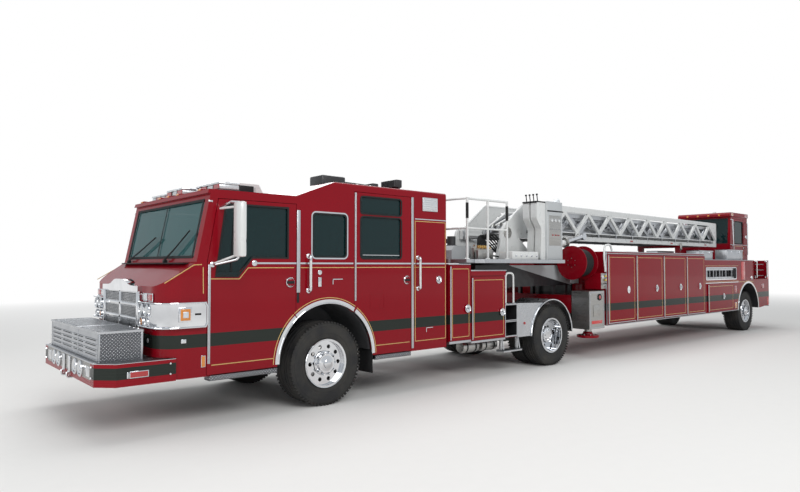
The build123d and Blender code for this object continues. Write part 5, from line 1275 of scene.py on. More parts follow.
for hand, side in HANDS:
    door = Maker(f"door_front_trim_{hand}", f"door_front_{hand}", "polished", CHROME, side)
    stripe(door, [(-7.42, BELT_Z), (FRONT_DOOR[1], BELT_Z)], 0.020, SIDE_Y, CHROME, 0.007)
    door.turned([(0.034, 0.0), (0.034, 0.006), (0.026, 0.011), (0.0, 0.013)], (-7.41, SIDE_Y, BELT_Z), OUTWARD, 28)
    stripe(door, [(-7.975, 1.640), (-7.60, 1.635), (-7.49, GOLD_Z), (FRONT_DOOR[1] - 0.03, GOLD_Z)])
    stripe(door, [(-7.93, 0.680), (-7.145, 0.680)])
    piano_hinge(door, -7.965, (0.70, 1.80), SIDE_Y, 0.024)
    window_foot = [(-7.885, 1.716), (-7.885, 1.668), (-7.62, 1.664), (-7.59, 1.716)]
    door.use(GLASS).plate(window_foot, "y", (SKIN_Y, 1.2225), 0.0)
    panel_head = [(-7.61, 1.700), (-7.44, 1.872), (-6.945, 1.872), (-6.945, 1.700)]
    door.use(RED_PLAIN).plate(panel_head, "y", (1.1975, 1.2215), 0.001)
    frame_points = [(-7.885, 1.668), (-7.62, 1.664), (-7.44, 1.880), (-6.96, 1.880), (-6.96, 2.49), (-7.77, 2.49)]
    stripe(door, frame_points, 0.022, SKIN_Y, SEAL, 0.005, closed=True)
    stripe(door, [(-7.70, 1.70), (-7.655, 2.485)], 0.018, 1.2015, SEAL, 0.008)
    door_handle(door, -6.93)
    door.use(WHITE)
    door.box((-7.815, -7.738), (1.484, 1.666), (1.882, 2.488), 0.024)
    door.use(CHROME)
    door.box((-7.744, -7.732), (1.503, 1.647), (2.07, 2.46), 0.005)
    door.box((-7.744, -7.732), (1.503, 1.647), (1.905, 2.045), 0.005)
    low_arm = [(-7.93, 1.20, 1.800), (-7.93, 1.30, 1.80), (-7.775, 1.55, 1.86), (-7.775, 1.55, 1.90)]
    high_arm = [(-7.84, 1.20, 2.437), (-7.80, 1.40, 2.50), (-7.775, 1.55, 2.485)]
    door.tubes([low_arm, high_arm], 0.014, 0.05)
    door.turned(flange(0.030, 0.01, 0.018, 0.016), (-7.93, PANEL_Y, 1.80), OUTWARD, 20)
    arch_trim(door, ARCH, ARCH_R, 179, 130.5)
    door.use(SEAL)
    door.bars(2, (-6.99, 1.198, 1.70), (-0.86, 0, 0.0), (0.014, 0.02, 0.03))
    door.done()

    crew = Maker(f"door_crew_trim_{hand}", f"door_crew_{hand}", "polished", CHROME, side)
    stripe(crew, [(CREW_DOOR[0] + 0.012, BELT_Z), (CREW_DOOR[1], BELT_Z)], 0.020, SIDE_Y, CHROME, 0.007)
    stripe(crew, [(CREW_DOOR[0] + 0.03, GOLD_Z), (CREW_DOOR[1], GOLD_Z)])
    stripe(crew, [(-5.585, 0.700), (CREW_DOOR[1] - 0.03, 0.700)])
    piano_hinge(crew, -5.932, (1.32, 2.76), SIDE_Y, 0.020)
    rounded_frame(crew, (-5.845, -5.115), (1.880, 2.450), SKIN_Y, 0.05, 0.020, SEAL)
    rounded_frame(crew, (-5.845, -5.115), (2.485, 2.720), SKIN_Y, 0.04, 0.020, SEAL)
    door_handle(crew, -5.02)
    crew.use(CHROME).tube([(-5.80, 1.205, 1.93), (-5.14, 1.205, 1.93)], 0.006, 0.0, 8)
    arch_trim(crew, ARCH, ARCH_R, 54.0, 1)
    rounded_frame(crew, (-5.68, -5.44), (1.20, 1.40), SIDE_Y, 0.01, 0.004, RED_PLAIN, 0.0015)
    crew.done()

maker = Maker("cab_side_trim", "tractor", "polished", CHROME)
for _ in maker.both():
    for low, high in ((FRONT_DOOR[1] + 0.005, CREW_DOOR[0] - 0.005), (CREW_DOOR[1] + 0.005, -4.222)):
        stripe(maker, [(low, BELT_Z), (high - 0.02, BELT_Z)], 0.020, SIDE_Y, CHROME, 0.007)
        stripe(maker, [(low + 0.06, GOLD_Z), (high, GOLD_Z)])
    arch_trim(maker, ARCH, ARCH_R, 129.5, 56.5)
    maker.use(SATIN)
    maker.box((-6.838, -6.788), (PANEL_Y, 1.230), (1.455, 2.475), 0.004)
    maker.box((-4.928, -4.886), (PANEL_Y, 1.230), (0.605, 2.770), 0.004)
    maker.use(SEAL).box((-6.832, -6.800), (PANEL_Y, 1.226), (1.330, 1.450), 0.003)
    rounded_frame(maker, (-6.618, -6.062), (1.878, 2.468), SKIN_Y, 0.06, 0.018, CHROME)
    rounded_frame(maker, (-6.600, -6.080), (1.896, 2.450), 1.2150, 0.05, 0.020, SEAL)
    grab_rail(maker, -6.665, (1.475, 1.905), SIDE_Y)
    grab_rail(maker, -4.800, (1.455, 1.900), SIDE_Y)
    stripe(maker, [(-4.852, 2.430), (-4.235, 2.430), (-4.235, 0.700), (-4.852, 0.700)], closed=True)
    stripe(maker, [(-4.860, 2.462), (-4.225, 2.462)], 0.014, SIDE_Y, CHROME, 0.005)
    stripe(maker, [(-8.46, 1.600), (-8.14, 1.795), (-8.05, 1.800)])
    stripe(maker, [(-8.035, 1.770), (-8.030, 1.480)])
    maker.use(CHROME)
    maker.box((-6.525, -6.475), (PANEL_Y, 1.234), (1.520, 1.640), 0.012)
    maker.turned(flange(0.030, 0.012, 0.020, 0.016), (-6.50, SIDE_Y, 1.70), OUTWARD, 20)
    maker.box((-6.300, -6.140), (PANEL_Y, 1.228), (1.605, 1.617), 0.003)
    maker.box((-6.300, -6.288), (PANEL_Y, 1.228), (1.545, 1.617), 0.003)
    maker.box((-4.640, -4.500), (PANEL_Y, 1.228), (0.872, 0.884), 0.003)
    maker.box((-4.640, -4.628), (PANEL_Y, 1.228), (0.815, 0.884), 0.003)
    round_latch(maker, -4.375, 1.575, SIDE_Y, 0.056)
    side_lamp(maker, (-4.700, -4.425), (2.600, 2.770), PANEL_Y, CLEAR_LENS, 0.016, 0.026)
    maker.use(CHROME).bars(5, (-4.5625, 1.246, 2.622), (0, 0, 0.031), (0.27, 0.006, 0.006))
    maker.use(TREAD_SIDE)
    maker.box((-7.960, -7.110), (1.10, 1.240), (0.508, 0.566), 0.006)
    maker.box((-5.600, -4.950), (1.10, 1.240), (0.508, 0.566), 0.006)
    maker.use(SEAL)
    maker.box((-5.640, -5.628), (0.90, 1.215), (0.330, 0.640), 0.003)
    maker.use(CHROME)
    maker.box((-7.98, -7.93), (1.216, 1.226), (2.500, 2.520), 0.003)
maker.done()

# %% [markdown]
# On the roof stand the emergency light bar, the air conditioner and the folded light mast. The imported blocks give
# their places, and each gets a cover with rounded edges, lens modules with dividers, and the mast's lamp heads.

# %% Roof
LOW_ROOF = 2.648
HIGH_ROOF = 2.878
maker = Maker("roof_dressed", "tractor", "white_paint", WHITE)


def light_bar(x, y):
    """A roof bar of clear modules between a dark foot and a chrome cap, with red inserts at its front."""
    maker.use(DARK).box(x, y, (LOW_ROOF, LOW_ROOF + 0.026), 0.006)
    maker.use(CLEAR_LENS).box(wider(x, -0.004), wider(y, -0.006), beyond(LOW_ROOF, 0.026, 0.088), 0.016)
    maker.use(CHROME).box(wider(x, 0.002), y, beyond(LOW_ROOF, 0.086, 0.112), 0.012)
    count = max(2, int((y[1] - y[0]) / 0.165))
    step = (y[1] - y[0]) / count
    maker.use(SEAL).bars(
        count - 1, ((x[0] + x[1]) / 2, y[0] + step, LOW_ROOF + 0.057), (0, step, 0),
        (x[1] - x[0] + 0.004, 0.008, 0.066),
    )
    maker.use(RED_LENS).bars(
        (count + 1) // 2, (x[0] + 0.004, y[0] + step / 2, LOW_ROOF + 0.057), (0, 2 * step, 0),
        (0.012, step * 0.8, 0.048),
    )


light_bar((-7.895, -7.635), (-0.26, 0.26))
light_bar((-7.795, -7.535), (-1.09, -0.42))
light_bar((-7.795, -7.535), (0.42, 1.09))
maker.use(WHITE)
hump = [(-7.480, 2.646), (-7.452, 2.842), (-6.985, 2.842), (-6.872, 2.646)]
maker.plate(hump, "y", (-0.524, 0.524), 0.024)
maker.use(PALE_GREY)
for _ in maker.both():
    maker.bars(8, (-7.18, 0.5252, 2.700), (0, 0, 0.014), (0.30, 0.006, 0.006))
maker.use(SEAL)
maker.box((-7.30, -7.06), (-0.529, -0.520), (2.690, 2.815), 0.006)
maker.use(CHROME)
maker.pegs(3, (-7.40, -0.527, 2.67), (0.22, 0, 0), 0.008, 0.005, 0.006, (0, -1, 0))
MAST_X = -5.90
maker.use(DARK)
maker.box(beyond(MAST_X, 0.02, 1.48), (-0.36, 0.08), (HIGH_ROOF, HIGH_ROOF + 0.050), 0.010)
maker.box(beyond(MAST_X, 0.05, 0.47), (-0.31, 0.03), beyond(HIGH_ROOF, 0.03, 0.235), 0.022)
maker.tube([(MAST_X + 0.45, -0.14, HIGH_ROOF + 0.13), (MAST_X + 1.34, -0.14, HIGH_ROOF + 0.13)], 0.040, 0.0, 20)
maker.use(STEEL)
for x in (0.55, 0.80, 1.05):
    maker.hoop(
        [(0.036, -0.015), (0.050, -0.015), (0.050, 0.015), (0.036, 0.015)], (MAST_X + x, -0.14, HIGH_ROOF + 0.13),
        REARWARD, 24,
    )
for y in (-0.52, -0.34, 0.06, 0.24):
    maker.use(DARK)
    maker.box(beyond(MAST_X, 1.22, 1.34), about(y, 0.083), beyond(HIGH_ROOF, 0.115, 0.240), 0.014)
    maker.use(PLASTIC)
    maker.bars(7, (MAST_X + 1.205, y - 0.066, HIGH_ROOF + 0.178), (0, 0.022, 0), (0.030, 0.006, 0.100))
    maker.use(CLEAR_LENS)
    maker.box(beyond(MAST_X, 1.338, 1.348), about(y, 0.070), beyond(HIGH_ROOF, 0.128, 0.228), 0.006)
maker.use(DARK)
maker.tube([(MAST_X + 1.28, -0.60, HIGH_ROOF + 0.10), (MAST_X + 1.28, 0.32, HIGH_ROOF + 0.10)], 0.020, 0.0)
maker.tube(
    [
        (MAST_X + 0.47, 0.0, HIGH_ROOF + 0.20), (MAST_X + 0.70, 0.03, HIGH_ROOF + 0.21),
        (MAST_X + 0.95, -0.05, HIGH_ROOF + 0.19), (MAST_X + 1.22, -0.10, HIGH_ROOF + 0.17),
    ],
    0.011, 0.06, 8,
)
piece = maker.done()
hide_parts("roof_equipment")

# %% [markdown]
# Behind the cab stand two lockers a side, the steps up to the turntable and the round fenders. Their doors have gold
# stripe frames, paddle latches and long hinges, and their edges have aluminium caps.

# %% Tractor lockers, steps and fenders
LOCKER_Y = 1.2275
for hand, side in HANDS:
    for name, x, z, latch in (
        ("narrow", (-4.140, -3.675), (0.635, 1.790), (-3.765, 1.118)),
        ("wide", (-3.650, -2.840), (0.605, 1.610), (-2.930, 1.025)),
    ):
        maker = Maker(f"door_{name}_trim_{hand}", f"door_{name}_{hand}", "polished", CHROME, side)
        gold_frame(maker, (x[0] + 0.050, x[1] - 0.045), wider(z, -0.055), LOCKER_Y)
        round_latch(maker, latch[0], latch[1], 1.2455, 0.062)
        piano_hinge(maker, x[0] + 0.012, wider(z, -0.02), LOCKER_Y, 0.018)
        maker.use(RED_PAINT)
        maker.box(wider(x, -0.003), (1.224, 1.2295), (z[1] - 0.012, z[1] - 0.002), 0.001)
        maker.done()

maker = Maker("locker_trim", "tractor", "aluminium", SATIN)
for _ in maker.both():
    maker.use(SATIN)
    maker.box((-4.150, -3.665), (1.10, 1.222), (0.592, 0.632), 0.005)
    maker.box((-3.660, -2.830), (1.10, 1.222), (0.566, 0.602), 0.005)
    maker.box((-3.665, -2.790), (0.755, 1.226), (1.698, 1.714), 0.005)
    maker.box((-4.155, -3.660), (0.755, 1.216), (1.798, 1.814), 0.005)
    for low, high in ((0.615, 0.850), (0.875, 1.130)):
        rounded_frame(maker, (-2.816, -2.504), (low - 0.006, high + 0.006), 1.2045, 0.02, 0.022, SATIN, 0.006)
        maker.use(TREAD_TOP).box((-2.805, -2.512), (0.975, 1.204), (low - 0.004, low + 0.003), 0.002)
        maker.use(SEAL).box((-2.800, -2.516), (0.968, 0.974), (low + 0.02, high - 0.02), 0.001)
    maker.use(WHITE)
    maker.tube(
        [(-2.775, 1.185, 1.148), (-2.775, 1.185, 1.660), (-2.570, 1.185, 1.660), (-2.570, 1.185, 1.148)], 0.017,
        0.07, 14,
    )
    maker.use(CHROME)
    for x in (-2.775, -2.570):
        maker.turned(flange(0.034, 0.008, 0.022, 0.014), (x, 1.185, 1.149), UPWARD, 20)
    maker.use(TREAD_TOP)
    maker.box((-2.830, -2.480), (0.93, 1.212), (1.148, 1.156), 0.003)
    maker.box((-2.838, -2.342), (1.026, 1.196), (0.366, 0.378), 0.004)
    maker.use(SATIN)
    maker.tubes(
        [[(-2.80, 1.12, 0.60), (-2.80, 1.16, 0.385)], [(-2.38, 1.12, 0.60), (-2.38, 1.16, 0.385)]], 0.012, 0.02,
    )
    maker.use(CHROME)
    for y, thickness in ((1.218, 0.011), (0.592, 0.009)):
        maker.tube(arc((AXLES["drive"], 0.565), 0.612, 178, 2, 30, y), thickness, 0.0, 8)
    maker.use(RED_LENS)
    maker.turned(dome(0.024, 0.022, 0.010, 0.014), (-2.30, 1.206, 0.80), OUTWARD, 20)
    maker.use(STEEL)
    for x in (-3.62, -3.17):
        maker.turned(
            [(0.0, 0.0), (0.085, 0.006), (0.098, 0.030), (0.098, 0.36), (0.085, 0.384), (0.0, 0.39)],
            (x, 0.93, 0.475), REARWARD, 28,
        )
        maker.use(SEAL)
        for strap in (0.09, 0.29):
            maker.hoop(
                [(0.098, -0.014), (0.102, -0.014), (0.102, 0.014), (0.098, 0.014)], (x + strap, 0.93, 0.475),
                REARWARD, 28,
            )
            maker.box((x + strap - 0.014, x + strap + 0.014), (0.916, 0.944), (0.565, 0.605), 0.002)
        maker.use(STEEL)
maker.done()

# %% [markdown]
# The trailer's locker doors repeat the stripe, the latch and the hinge. A rub rail and a drip rail run along the
# body, and aluminium caps close its top edges. The side ladders lie in a framed recess.

# %% Trailer doors
BAY_EDGES = (0.245, 1.365, 2.575, 3.715, 4.735)
DOOR_Y = 1.2945
LATCH_Y = 1.3102
FLAT_LATCH_Y = 1.2950  # the first bay's latch lies lower, because the outrigger passes close by it
for hand, side in HANDS:
    for n, (front, rear) in enumerate(zip(BAY_EDGES, BAY_EDGES[1:]), 1):
        maker = Maker(f"door_bay_{n}_trim_{hand}", f"door_bay_{n}_{hand}", "polished", CHROME, side)
        gold_frame(maker, (front + 0.075, rear - 0.075), (0.690, 1.950), DOOR_Y)
        round_latch(maker, rear - 0.33, 1.29, FLAT_LATCH_Y if n == 1 else LATCH_Y, 0.050)
        piano_hinge(maker, front + 0.030, (0.650, 1.990), DOOR_Y, 0.020)
        maker.use(SATIN).box((front + 0.018, rear - 0.018), (1.272, 1.2965), (0.632, 0.650), 0.003)
        maker.done()
    maker = Maker(f"door_low_trim_{hand}", f"door_low_{hand}", "polished", CHROME, side)
    gold_frame(maker, (4.970, 6.410), (0.680, 1.260), DOOR_Y)
    round_latch(maker, 5.81, 1.00, LATCH_Y, 0.050)
    piano_hinge(maker, 4.925, (0.640, 1.300), DOOR_Y, 0.020)
    maker.done()

# %% Trailer body
BODY_Y = 1.2705
REAR_ARCH = (AXLES["tiller"], 0.59)
maker = Maker("trailer_trim", "trailer", "aluminium", SATIN)
for _ in maker.both():
    maker.use(SATIN)
    maker.box((0.245, 4.735), (1.262, 1.302), (2.018, 2.034), 0.005)
    maker.box((0.245, 6.800), (1.262, 1.296), (0.598, 0.614), 0.005)
    maker.box((0.243, 4.740), (1.215, 1.276), (2.056, 2.070), 0.005)
    for x in ((4.735, 7.950), (8.950, 9.104)):
        maker.box(x, (1.215, 1.276), (1.918, 1.932), 0.005)
    maker.box((0.240, 0.254), (1.245, 1.276), (0.605, 2.060), 0.004)
    for x in BAY_EDGES[1:4]:
        maker.box(about(x, 0.012), (1.268, 1.277), (0.62, 2.015), 0.002)
    rounded_frame(maker, (4.838, 6.722), (1.428, 1.727), BODY_Y, 0.03, 0.024, CHROME, 0.006)
    for z in (1.775, 1.375):
        stripe(maker, [(4.80, z), (6.86, z)], STRIPE, BODY_Y)
    stripe(maker, [(4.80, 1.345), (6.86, 1.345)], 0.016, BODY_Y, CHROME, 0.006)
    stripe(maker, [(6.90, 1.345), (7.93, 1.345)], 0.012, BODY_Y)
    arch_trim(maker, REAR_ARCH, 0.712, 179, 1, BODY_Y, 0.045, 40)
    maker.use(REFLECTIVE)
    for x in ((7.075, 7.325), (8.970, 9.070)):
        maker.box(x, (1.269, 1.2735), (1.400, 1.885), 0.002)
    maker.box((8.970, 9.070), (1.269, 1.2735), (0.640, 0.860), 0.002)
    for x, z, lens_finish in (
        ((6.585, 6.700), (0.665, 0.800), AMBER_LENS),
        ((6.585, 6.700), (1.085, 1.235), RED_LENS),
        ((8.55, 8.68), (1.150, 1.250), RED_LENS),
    ):
        side_lamp(maker, x, z, BODY_Y, lens_finish, 0.008, 0.014)
    maker.use(AMBER_LENS)
    for x in (1.365, 3.715):
        maker.turned(dome(0.022, 0.020, 0.010, 0.014), (x, 1.276, 0.760), OUTWARD, 20)
    round_lamp(maker, (7.78, BODY_Y, 1.445), OUTWARD, 0.052, CLEAR_LENS, 0.018)
    for x in (8.06, 8.84):
        grab_rail(maker, x, (1.450, 1.900), BODY_Y, 0.050, 0.014)
    for z in (1.50, 1.66, 1.82):
        maker.use(TREAD_TOP).box((8.13, 8.77), (1.12, 1.262), (z - 0.012, z + 0.004), 0.004)
    # two low equipment boxes on the rear deck, each with its lid, hinge and latches
    for x, top in (((4.82, 5.62), 2.150), ((6.55, 7.60), 2.200)):
        maker.use(SATIN).box(x, (0.80, 1.12), (1.924, top), 0.012)
        maker.use(TREAD_TOP).box(wider(x, 0.008), (0.79, 1.13), (top, top + 0.012), 0.004)
        maker.use(SATIN).box(wider(x, 0.008), (1.126, 1.132), (top - 0.022, top + 0.010), 0.002)
        maker.use(CHROME)
        for share in (0.25, 0.75):
            place = x[0] + (x[1] - x[0]) * share
            maker.box(about(place, 0.022), (1.118, 1.136), (top - 0.085, top - 0.018), 0.005)
            maker.hoop(rim(0.012, 0.018, 0.006, 0.006), (place, 1.136, top - 0.050), OUTWARD, 20)
        maker.use(SEAL).box(wider(x, -0.03), (0.83, 1.09), (1.920, 1.926), 0.001)
    # tail lamps
    for n, lens_finish in enumerate((RED_LENS, AMBER_LENS, CLEAR_LENS)):
        z = 1.16 - 0.16 * n
        maker.use(CHROME).box((9.100, 9.108), (0.985, 1.215), about(z, 0.070), 0.004)
        maker.use(lens_finish).box((9.104, 9.122), (1.005, 1.195), about(z, 0.052), 0.010)
    maker.use(RED_LENS).box((9.100, 9.120), (1.02, 1.20), (1.74, 1.84), 0.010)
    maker.use(CHROME)
    maker.tube([(9.10, 0.90, 1.28), (9.135, 0.90, 1.28), (9.135, 0.90, 1.86), (9.10, 0.90, 1.86)], 0.014, 0.03)
    maker.tube([(9.10, 0.42, 0.60), (9.13, 0.42, 0.60), (9.13, 0.42, 0.50), (9.08, 0.42, 0.50)], 0.013, 0.02)
maker.use(TREAD_END).box((9.098, 9.104), (-0.90, 0.90), (0.66, 1.28), 0.002)
maker.use(SATIN)
maker.box((9.098, 9.112), (-1.26, 1.26), (0.606, 0.640), 0.004)
maker.box((9.098, 9.110), (-0.60, 0.60), (1.30, 1.312), 0.003)
maker.box((9.098, 9.110), (-0.60, 0.60), (1.888, 1.900), 0.003)
for y in (-0.60, 0.60):
    maker.box((9.098, 9.110), about(y, 0.006), (1.30, 1.90), 0.003)
maker.use(CHROME)
maker.turned([(0.055, 0.0), (0.055, 0.010), (0.044, 0.016), (0.0, 0.010)], (9.104, 0.46, 1.60), REARWARD, 28)
maker.done()

# %% [markdown]
# Each outrigger is a stainless housing that slides out, with a warning lamp in a black ring, and a leg whose lower
# part and foot are red. Above it a small control panel has a gauge, knobs and levers.

# %% Outriggers and control panels
LEG_X, LEG_Y = -0.115, 1.06
REEL = (-0.87, 1.84)
YELLOW = plain_paint("yellow_knob", (0.70, 0.50, 0.03), 0.35, 0.3)
for hand, side in HANDS:
    maker = Maker(f"outrigger_trim_{hand}", f"outrigger_{hand}", "steel", STEEL, side)
    rounded_frame(maker, (-0.360, 0.130), (0.585, 1.265), 1.2655, 0.02, 0.020, SATIN, 0.004)
    maker.use(SEAL).hoop(
        [(0.040, 0.0), (0.066, 0.0), (0.064, 0.012), (0.042, 0.014)], (-0.02, 1.266, 1.17), OUTWARD, 28,
    )
    maker.use(RED_LENS).turned(dome(0.041, 0.038, 0.012, 0.020), (-0.02, 1.266, 1.17), OUTWARD, 28)
    maker.use(CHROME)
    for x in (-0.345, 0.115):
        maker.pegs(5, (x, 1.270, 0.62), (0, 0, 0.152), 0.008, 0.005, 0.006, OUTWARD, 8)
    maker.use(REFLECTIVE).box((-0.30, 0.07), (1.265, 1.2685), (0.66, 0.72), 0.001)
    maker.use(STEEL).box((-0.24, -0.02), (1.265, 1.275), (0.80, 1.02), 0.006)
    maker.done()
    leg = Maker(f"jack_leg_trim_{hand}", f"jack_leg_{hand}", "red_paint", RED_PLAIN, side)
    leg.hoop(
        [(0.205, 0.0), (0.212, 0.006), (0.212, 0.040), (0.204, 0.048), (0.150, 0.050), (0.150, 0.0)],
        (LEG_X, LEG_Y, 0.384), UPWARD, 40,
    )
    leg.hoop(
        [(0.070, 0.0), (0.100, 0.0), (0.100, 0.030), (0.078, 0.075), (0.070, 0.075)], (LEG_X, LEG_Y, 0.424),
        UPWARD, 32,
    )
    leg.use(STEEL)
    leg.nuts(Matrix.Translation((LEG_X, side * LEG_Y, 0.432)), 6, 0.115, 0.012, 0.011, 0.018)
    leg.done()
    dress(f"jack_leg_{hand}", RED_PLAIN, lambda at, to: at.z < 0.47)

maker = Maker("control_panels", "trailer", "steel", STEEL)
for _ in maker.both():
    out = 1.250
    maker.use(STEEL).box((0.066, 0.240), (out, out + 0.005), (1.328, 1.632), 0.002)
    maker.use(CHROME)
    maker.hoop(rim(0.034, 0.042, 0.012, 0.014), (0.115, out + 0.004, 1.565), OUTWARD, 28)
    maker.use(WHITE).turned([(0.035, 0.001), (0.035, 0.006), (0, 0.006)], (0.115, out + 0.004, 1.565), OUTWARD, 28)
    maker.use(SEAL).box((0.113, 0.117), (out + 0.009, out + 0.0115), (1.560, 1.592), 0.0005)
    maker.use(YELLOW)
    for x, z in ((0.195, 1.575), (0.195, 1.500)):
        maker.turned(
            [(0.008, 0), (0.008, 0.016), (0.019, 0.018), (0.021, 0.030), (0.014, 0.038), (0, 0.040)],
            (x, out + 0.004, z), OUTWARD, 20,
        )
    maker.use(CHROME).pegs(3, (0.105, out + 0.010, 1.405), (0.045, 0, 0), 0.013, 0.010, 0.014, OUTWARD, 12)
    maker.use(SEAL)
    maker.tubes([[(x, out + 0.004, 1.405), (x, out + 0.050, 1.435)] for x in (0.105, 0.150, 0.195)], 0.006, 0.0, 8)
    maker.use(WHITE)
    maker.tube(
        [(0.58, 1.19, 2.06), (0.58, 1.19, 2.22), (0.30, 1.20, 2.19), (0.215, 1.235, 1.98), (0.215, 1.262, 1.66)],
        0.020, 0.12, 14,
    )
    maker.use(PALE_GREY)
    maker.box((-0.06, 0.24), (0.62, 0.64), (1.42, 1.72), 0.006)
# hose reel: turns of hose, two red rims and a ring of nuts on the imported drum
maker.use(SEAL)
for n in range(7):
    maker.hoop(
        [(0.235, -0.024), (0.262, -0.022), (0.272, 0.0), (0.262, 0.022), (0.235, 0.024)],
        (-0.318 + 0.052 * n, *REEL), REARWARD, 40,
    )
maker.use(RED_PLAIN)
for x in (-0.362, 0.030):
    maker.hoop(rim(0.314, 0.334, 0.018, 0.018), (x, *REEL), REARWARD, 48)
maker.use(STEEL)
maker.nuts(Matrix.Translation((-0.366, *REEL)) @ Matrix.Rotation(pi / 2, 4, "Y"), 6, 0.09, 0.012, 0.011, 0.012)
maker.done()

# %% [markdown]
# The turntable deck carries the operator's console, valve blocks with their hoses and brass fittings, and guard
# rails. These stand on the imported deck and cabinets, and turn with them.

# %% Turntable
DECK_TOP = 1.89
maker = Maker("turntable_fittings", "turntable", "white_paint", WHITE)
deck = [
    (-3.65, -0.70), (-3.30, -1.20), (-1.08, -1.20), (-0.75, -0.70), (-0.75, 0.70), (-1.08, 1.20), (-3.30, 1.20),
    (-3.65, 0.70),
]
maker.use(SATIN)
for first, second in zip(deck, deck[1:] + deck[:1]):
    out = Vector((second[1] - first[1], first[0] - second[0], 0)).normalized()
    maker.ribbon([(*first, 1.860), (*second, 1.860)], 0.062, out, 0.004)
for _ in maker.both():
    maker.use(SATIN)
    maker.plate([(-3.63, 0.74), (-3.40, 1.07), (-3.52, 1.09), (-3.60, 1.07)], "z", (1.836, 1.888), 0.004)
    maker.use(WHITE)
    for x in (-3.55, -3.05, -2.55):
        maker.turned(flange(0.045, 0.010, 0.026, 0.020), (x, 1.04, DECK_TOP), UPWARD, 20)
    maker.use(SEAL)
    maker.tubes([[(x, 1.04, 2.55), (x, 1.04, 2.80)] for x in (-3.55, -2.55)], 0.024, 0.0, 14)
# gate frame across the front of the deck
maker.use(WHITE)
rails = [[(-3.55, -1.04, z), (-3.60, -0.85, z), (-3.60, 0.85, z), (-3.55, 1.04, z)] for z in (2.87, 2.39)]
maker.tubes(rails, 0.018, 0.05, 12)
maker.tubes([[(-3.60, y, 1.89), (-3.60, y, 2.87)] for y in (-0.45, 0.45)], 0.018, 0.0, 12)
# operator's console: two bent housings on the cabinet's front, a gauge panel on its side, a lamp and levers
bent = [(-1.70, 1.89), (-1.55, 1.89), (-1.55, 2.93), (-1.80, 2.93), (-1.80, 2.62), (-1.66, 2.45)]
for y in (-0.87, -1.04):
    maker.plate(bent, "y", about(y, 0.07), 0.006, 0.045)
maker.use(PALE_GREY)
maker.box((-1.552, -1.075), (-1.155, -0.785), (1.888, 2.955), 0.016)
maker.use(SEAL)
maker.box((-1.545, -1.085), (-1.158, -1.150), (2.765, 2.790), 0.002)
maker.box((-1.815, -1.545), (-1.115, -0.795), (2.918, 2.945), 0.010)
maker.use(STEEL)
maker.box((-1.50, -1.13), (-1.160, -1.150), (2.15, 2.70), 0.004)
maker.use(CHROME)
for n in range(3):
    maker.hoop(rim(0.026, 0.034, 0.010, 0.012), (-1.42 + 0.11 * n, -1.160, 2.61), (0, -1, 0), 24)
maker.pegs(6, (-1.45, -1.166, 2.45), (0.055, 0, 0), 0.010, 0.008, 0.012, (0, -1, 0), 12)
maker.use(WHITE)
for n in range(3):
    maker.turned([(0.027, 0.001), (0.027, 0.005), (0, 0.005)], (-1.42 + 0.11 * n, -1.160, 2.61), (0, -1, 0), 24)
maker.use(RED_LENS).pegs(3, (-1.40, -1.166, 2.34), (0.09, 0, 0), 0.014, 0.009, 0.014, (0, -1, 0), 12)
maker.use(SEAL)
levers = (-0.83, -0.91, -0.99, -1.07)
maker.tubes([[(-1.72, y, 2.93), (-1.74, y, 3.06)] for y in levers], 0.009, 0.0, 8)
for y in levers:
    maker.turned(
        [(0, 0), (0.019, 0.010), (0.020, 0.026), (0.010, 0.036), (0, 0.038)], (-1.742, y, 3.045), UPWARD, 16,
    )
maker.use(CLEAR_LENS).turned(
    [(0.060, 0), (0.060, 0.03), (0.040, 0.05), (0, 0.055)], (-1.18, -1.10, 2.96), (-0.6, -0.3, 0.4), 24,
)
maker.use(PALE_GREY)
maker.box((-1.553, -1.077), (0.787, 1.155), (1.888, 2.315), 0.014)
maker.use(SEAL).box((-1.51, -1.12), (1.150, 1.158), (1.93, 2.27), 0.004)
maker.use(PALE_GREY).box((-1.50, -1.13), (1.152, 1.162), (1.94, 2.26), 0.006)
# valve cabinet on the left edge, drive housing and hydraulic gear between the guards
maker.use(WHITE).box((-2.55, -1.82), (-1.155, -0.855), (1.888, 2.030), 0.012)
maker.use(CHROME).pegs(5, (-2.46, -1.160, 1.955), (0.145, 0, 0), 0.018, 0.014, 0.014, (0, -1, 0), 16)
maker.use(PALE_GREY).plate(
    [(-3.28, 1.89), (-2.72, 1.89), (-2.72, 2.05), (-2.80, 2.13), (-3.20, 2.13), (-3.28, 2.05)], "y", (-0.43, 0.43),
    0.010,
)
maker.use(CAST)
maker.turned(
    [(0.0, 0), (0.13, 0.0), (0.13, 0.02), (0.10, 0.03), (0.10, 0.22), (0.08, 0.25), (0, 0.25)], (-3.00, 0.22, 2.12),
    UPWARD, 28,
)
maker.turned(
    [(0.0, 0), (0.10, 0.0), (0.10, 0.02), (0.075, 0.03), (0.075, 0.18), (0, 0.18)], (-3.05, -0.20, 2.12), UPWARD,
    28,
)
for n, y in enumerate((-0.70, -0.60, 0.60, 0.70)):
    maker.use(STEEL).box((-2.95, -2.55), about(y, 0.035), (1.888, 2.060 + 0.04 * (n % 2)), 0.010)
    maker.use(BRASS).pegs(4, (-2.90, y, 2.075 + 0.04 * (n % 2)), (0.10, 0, 0), 0.014, 0.012, 0.034, UPWARD, 6)
maker.use(SEAL)
hoses = []
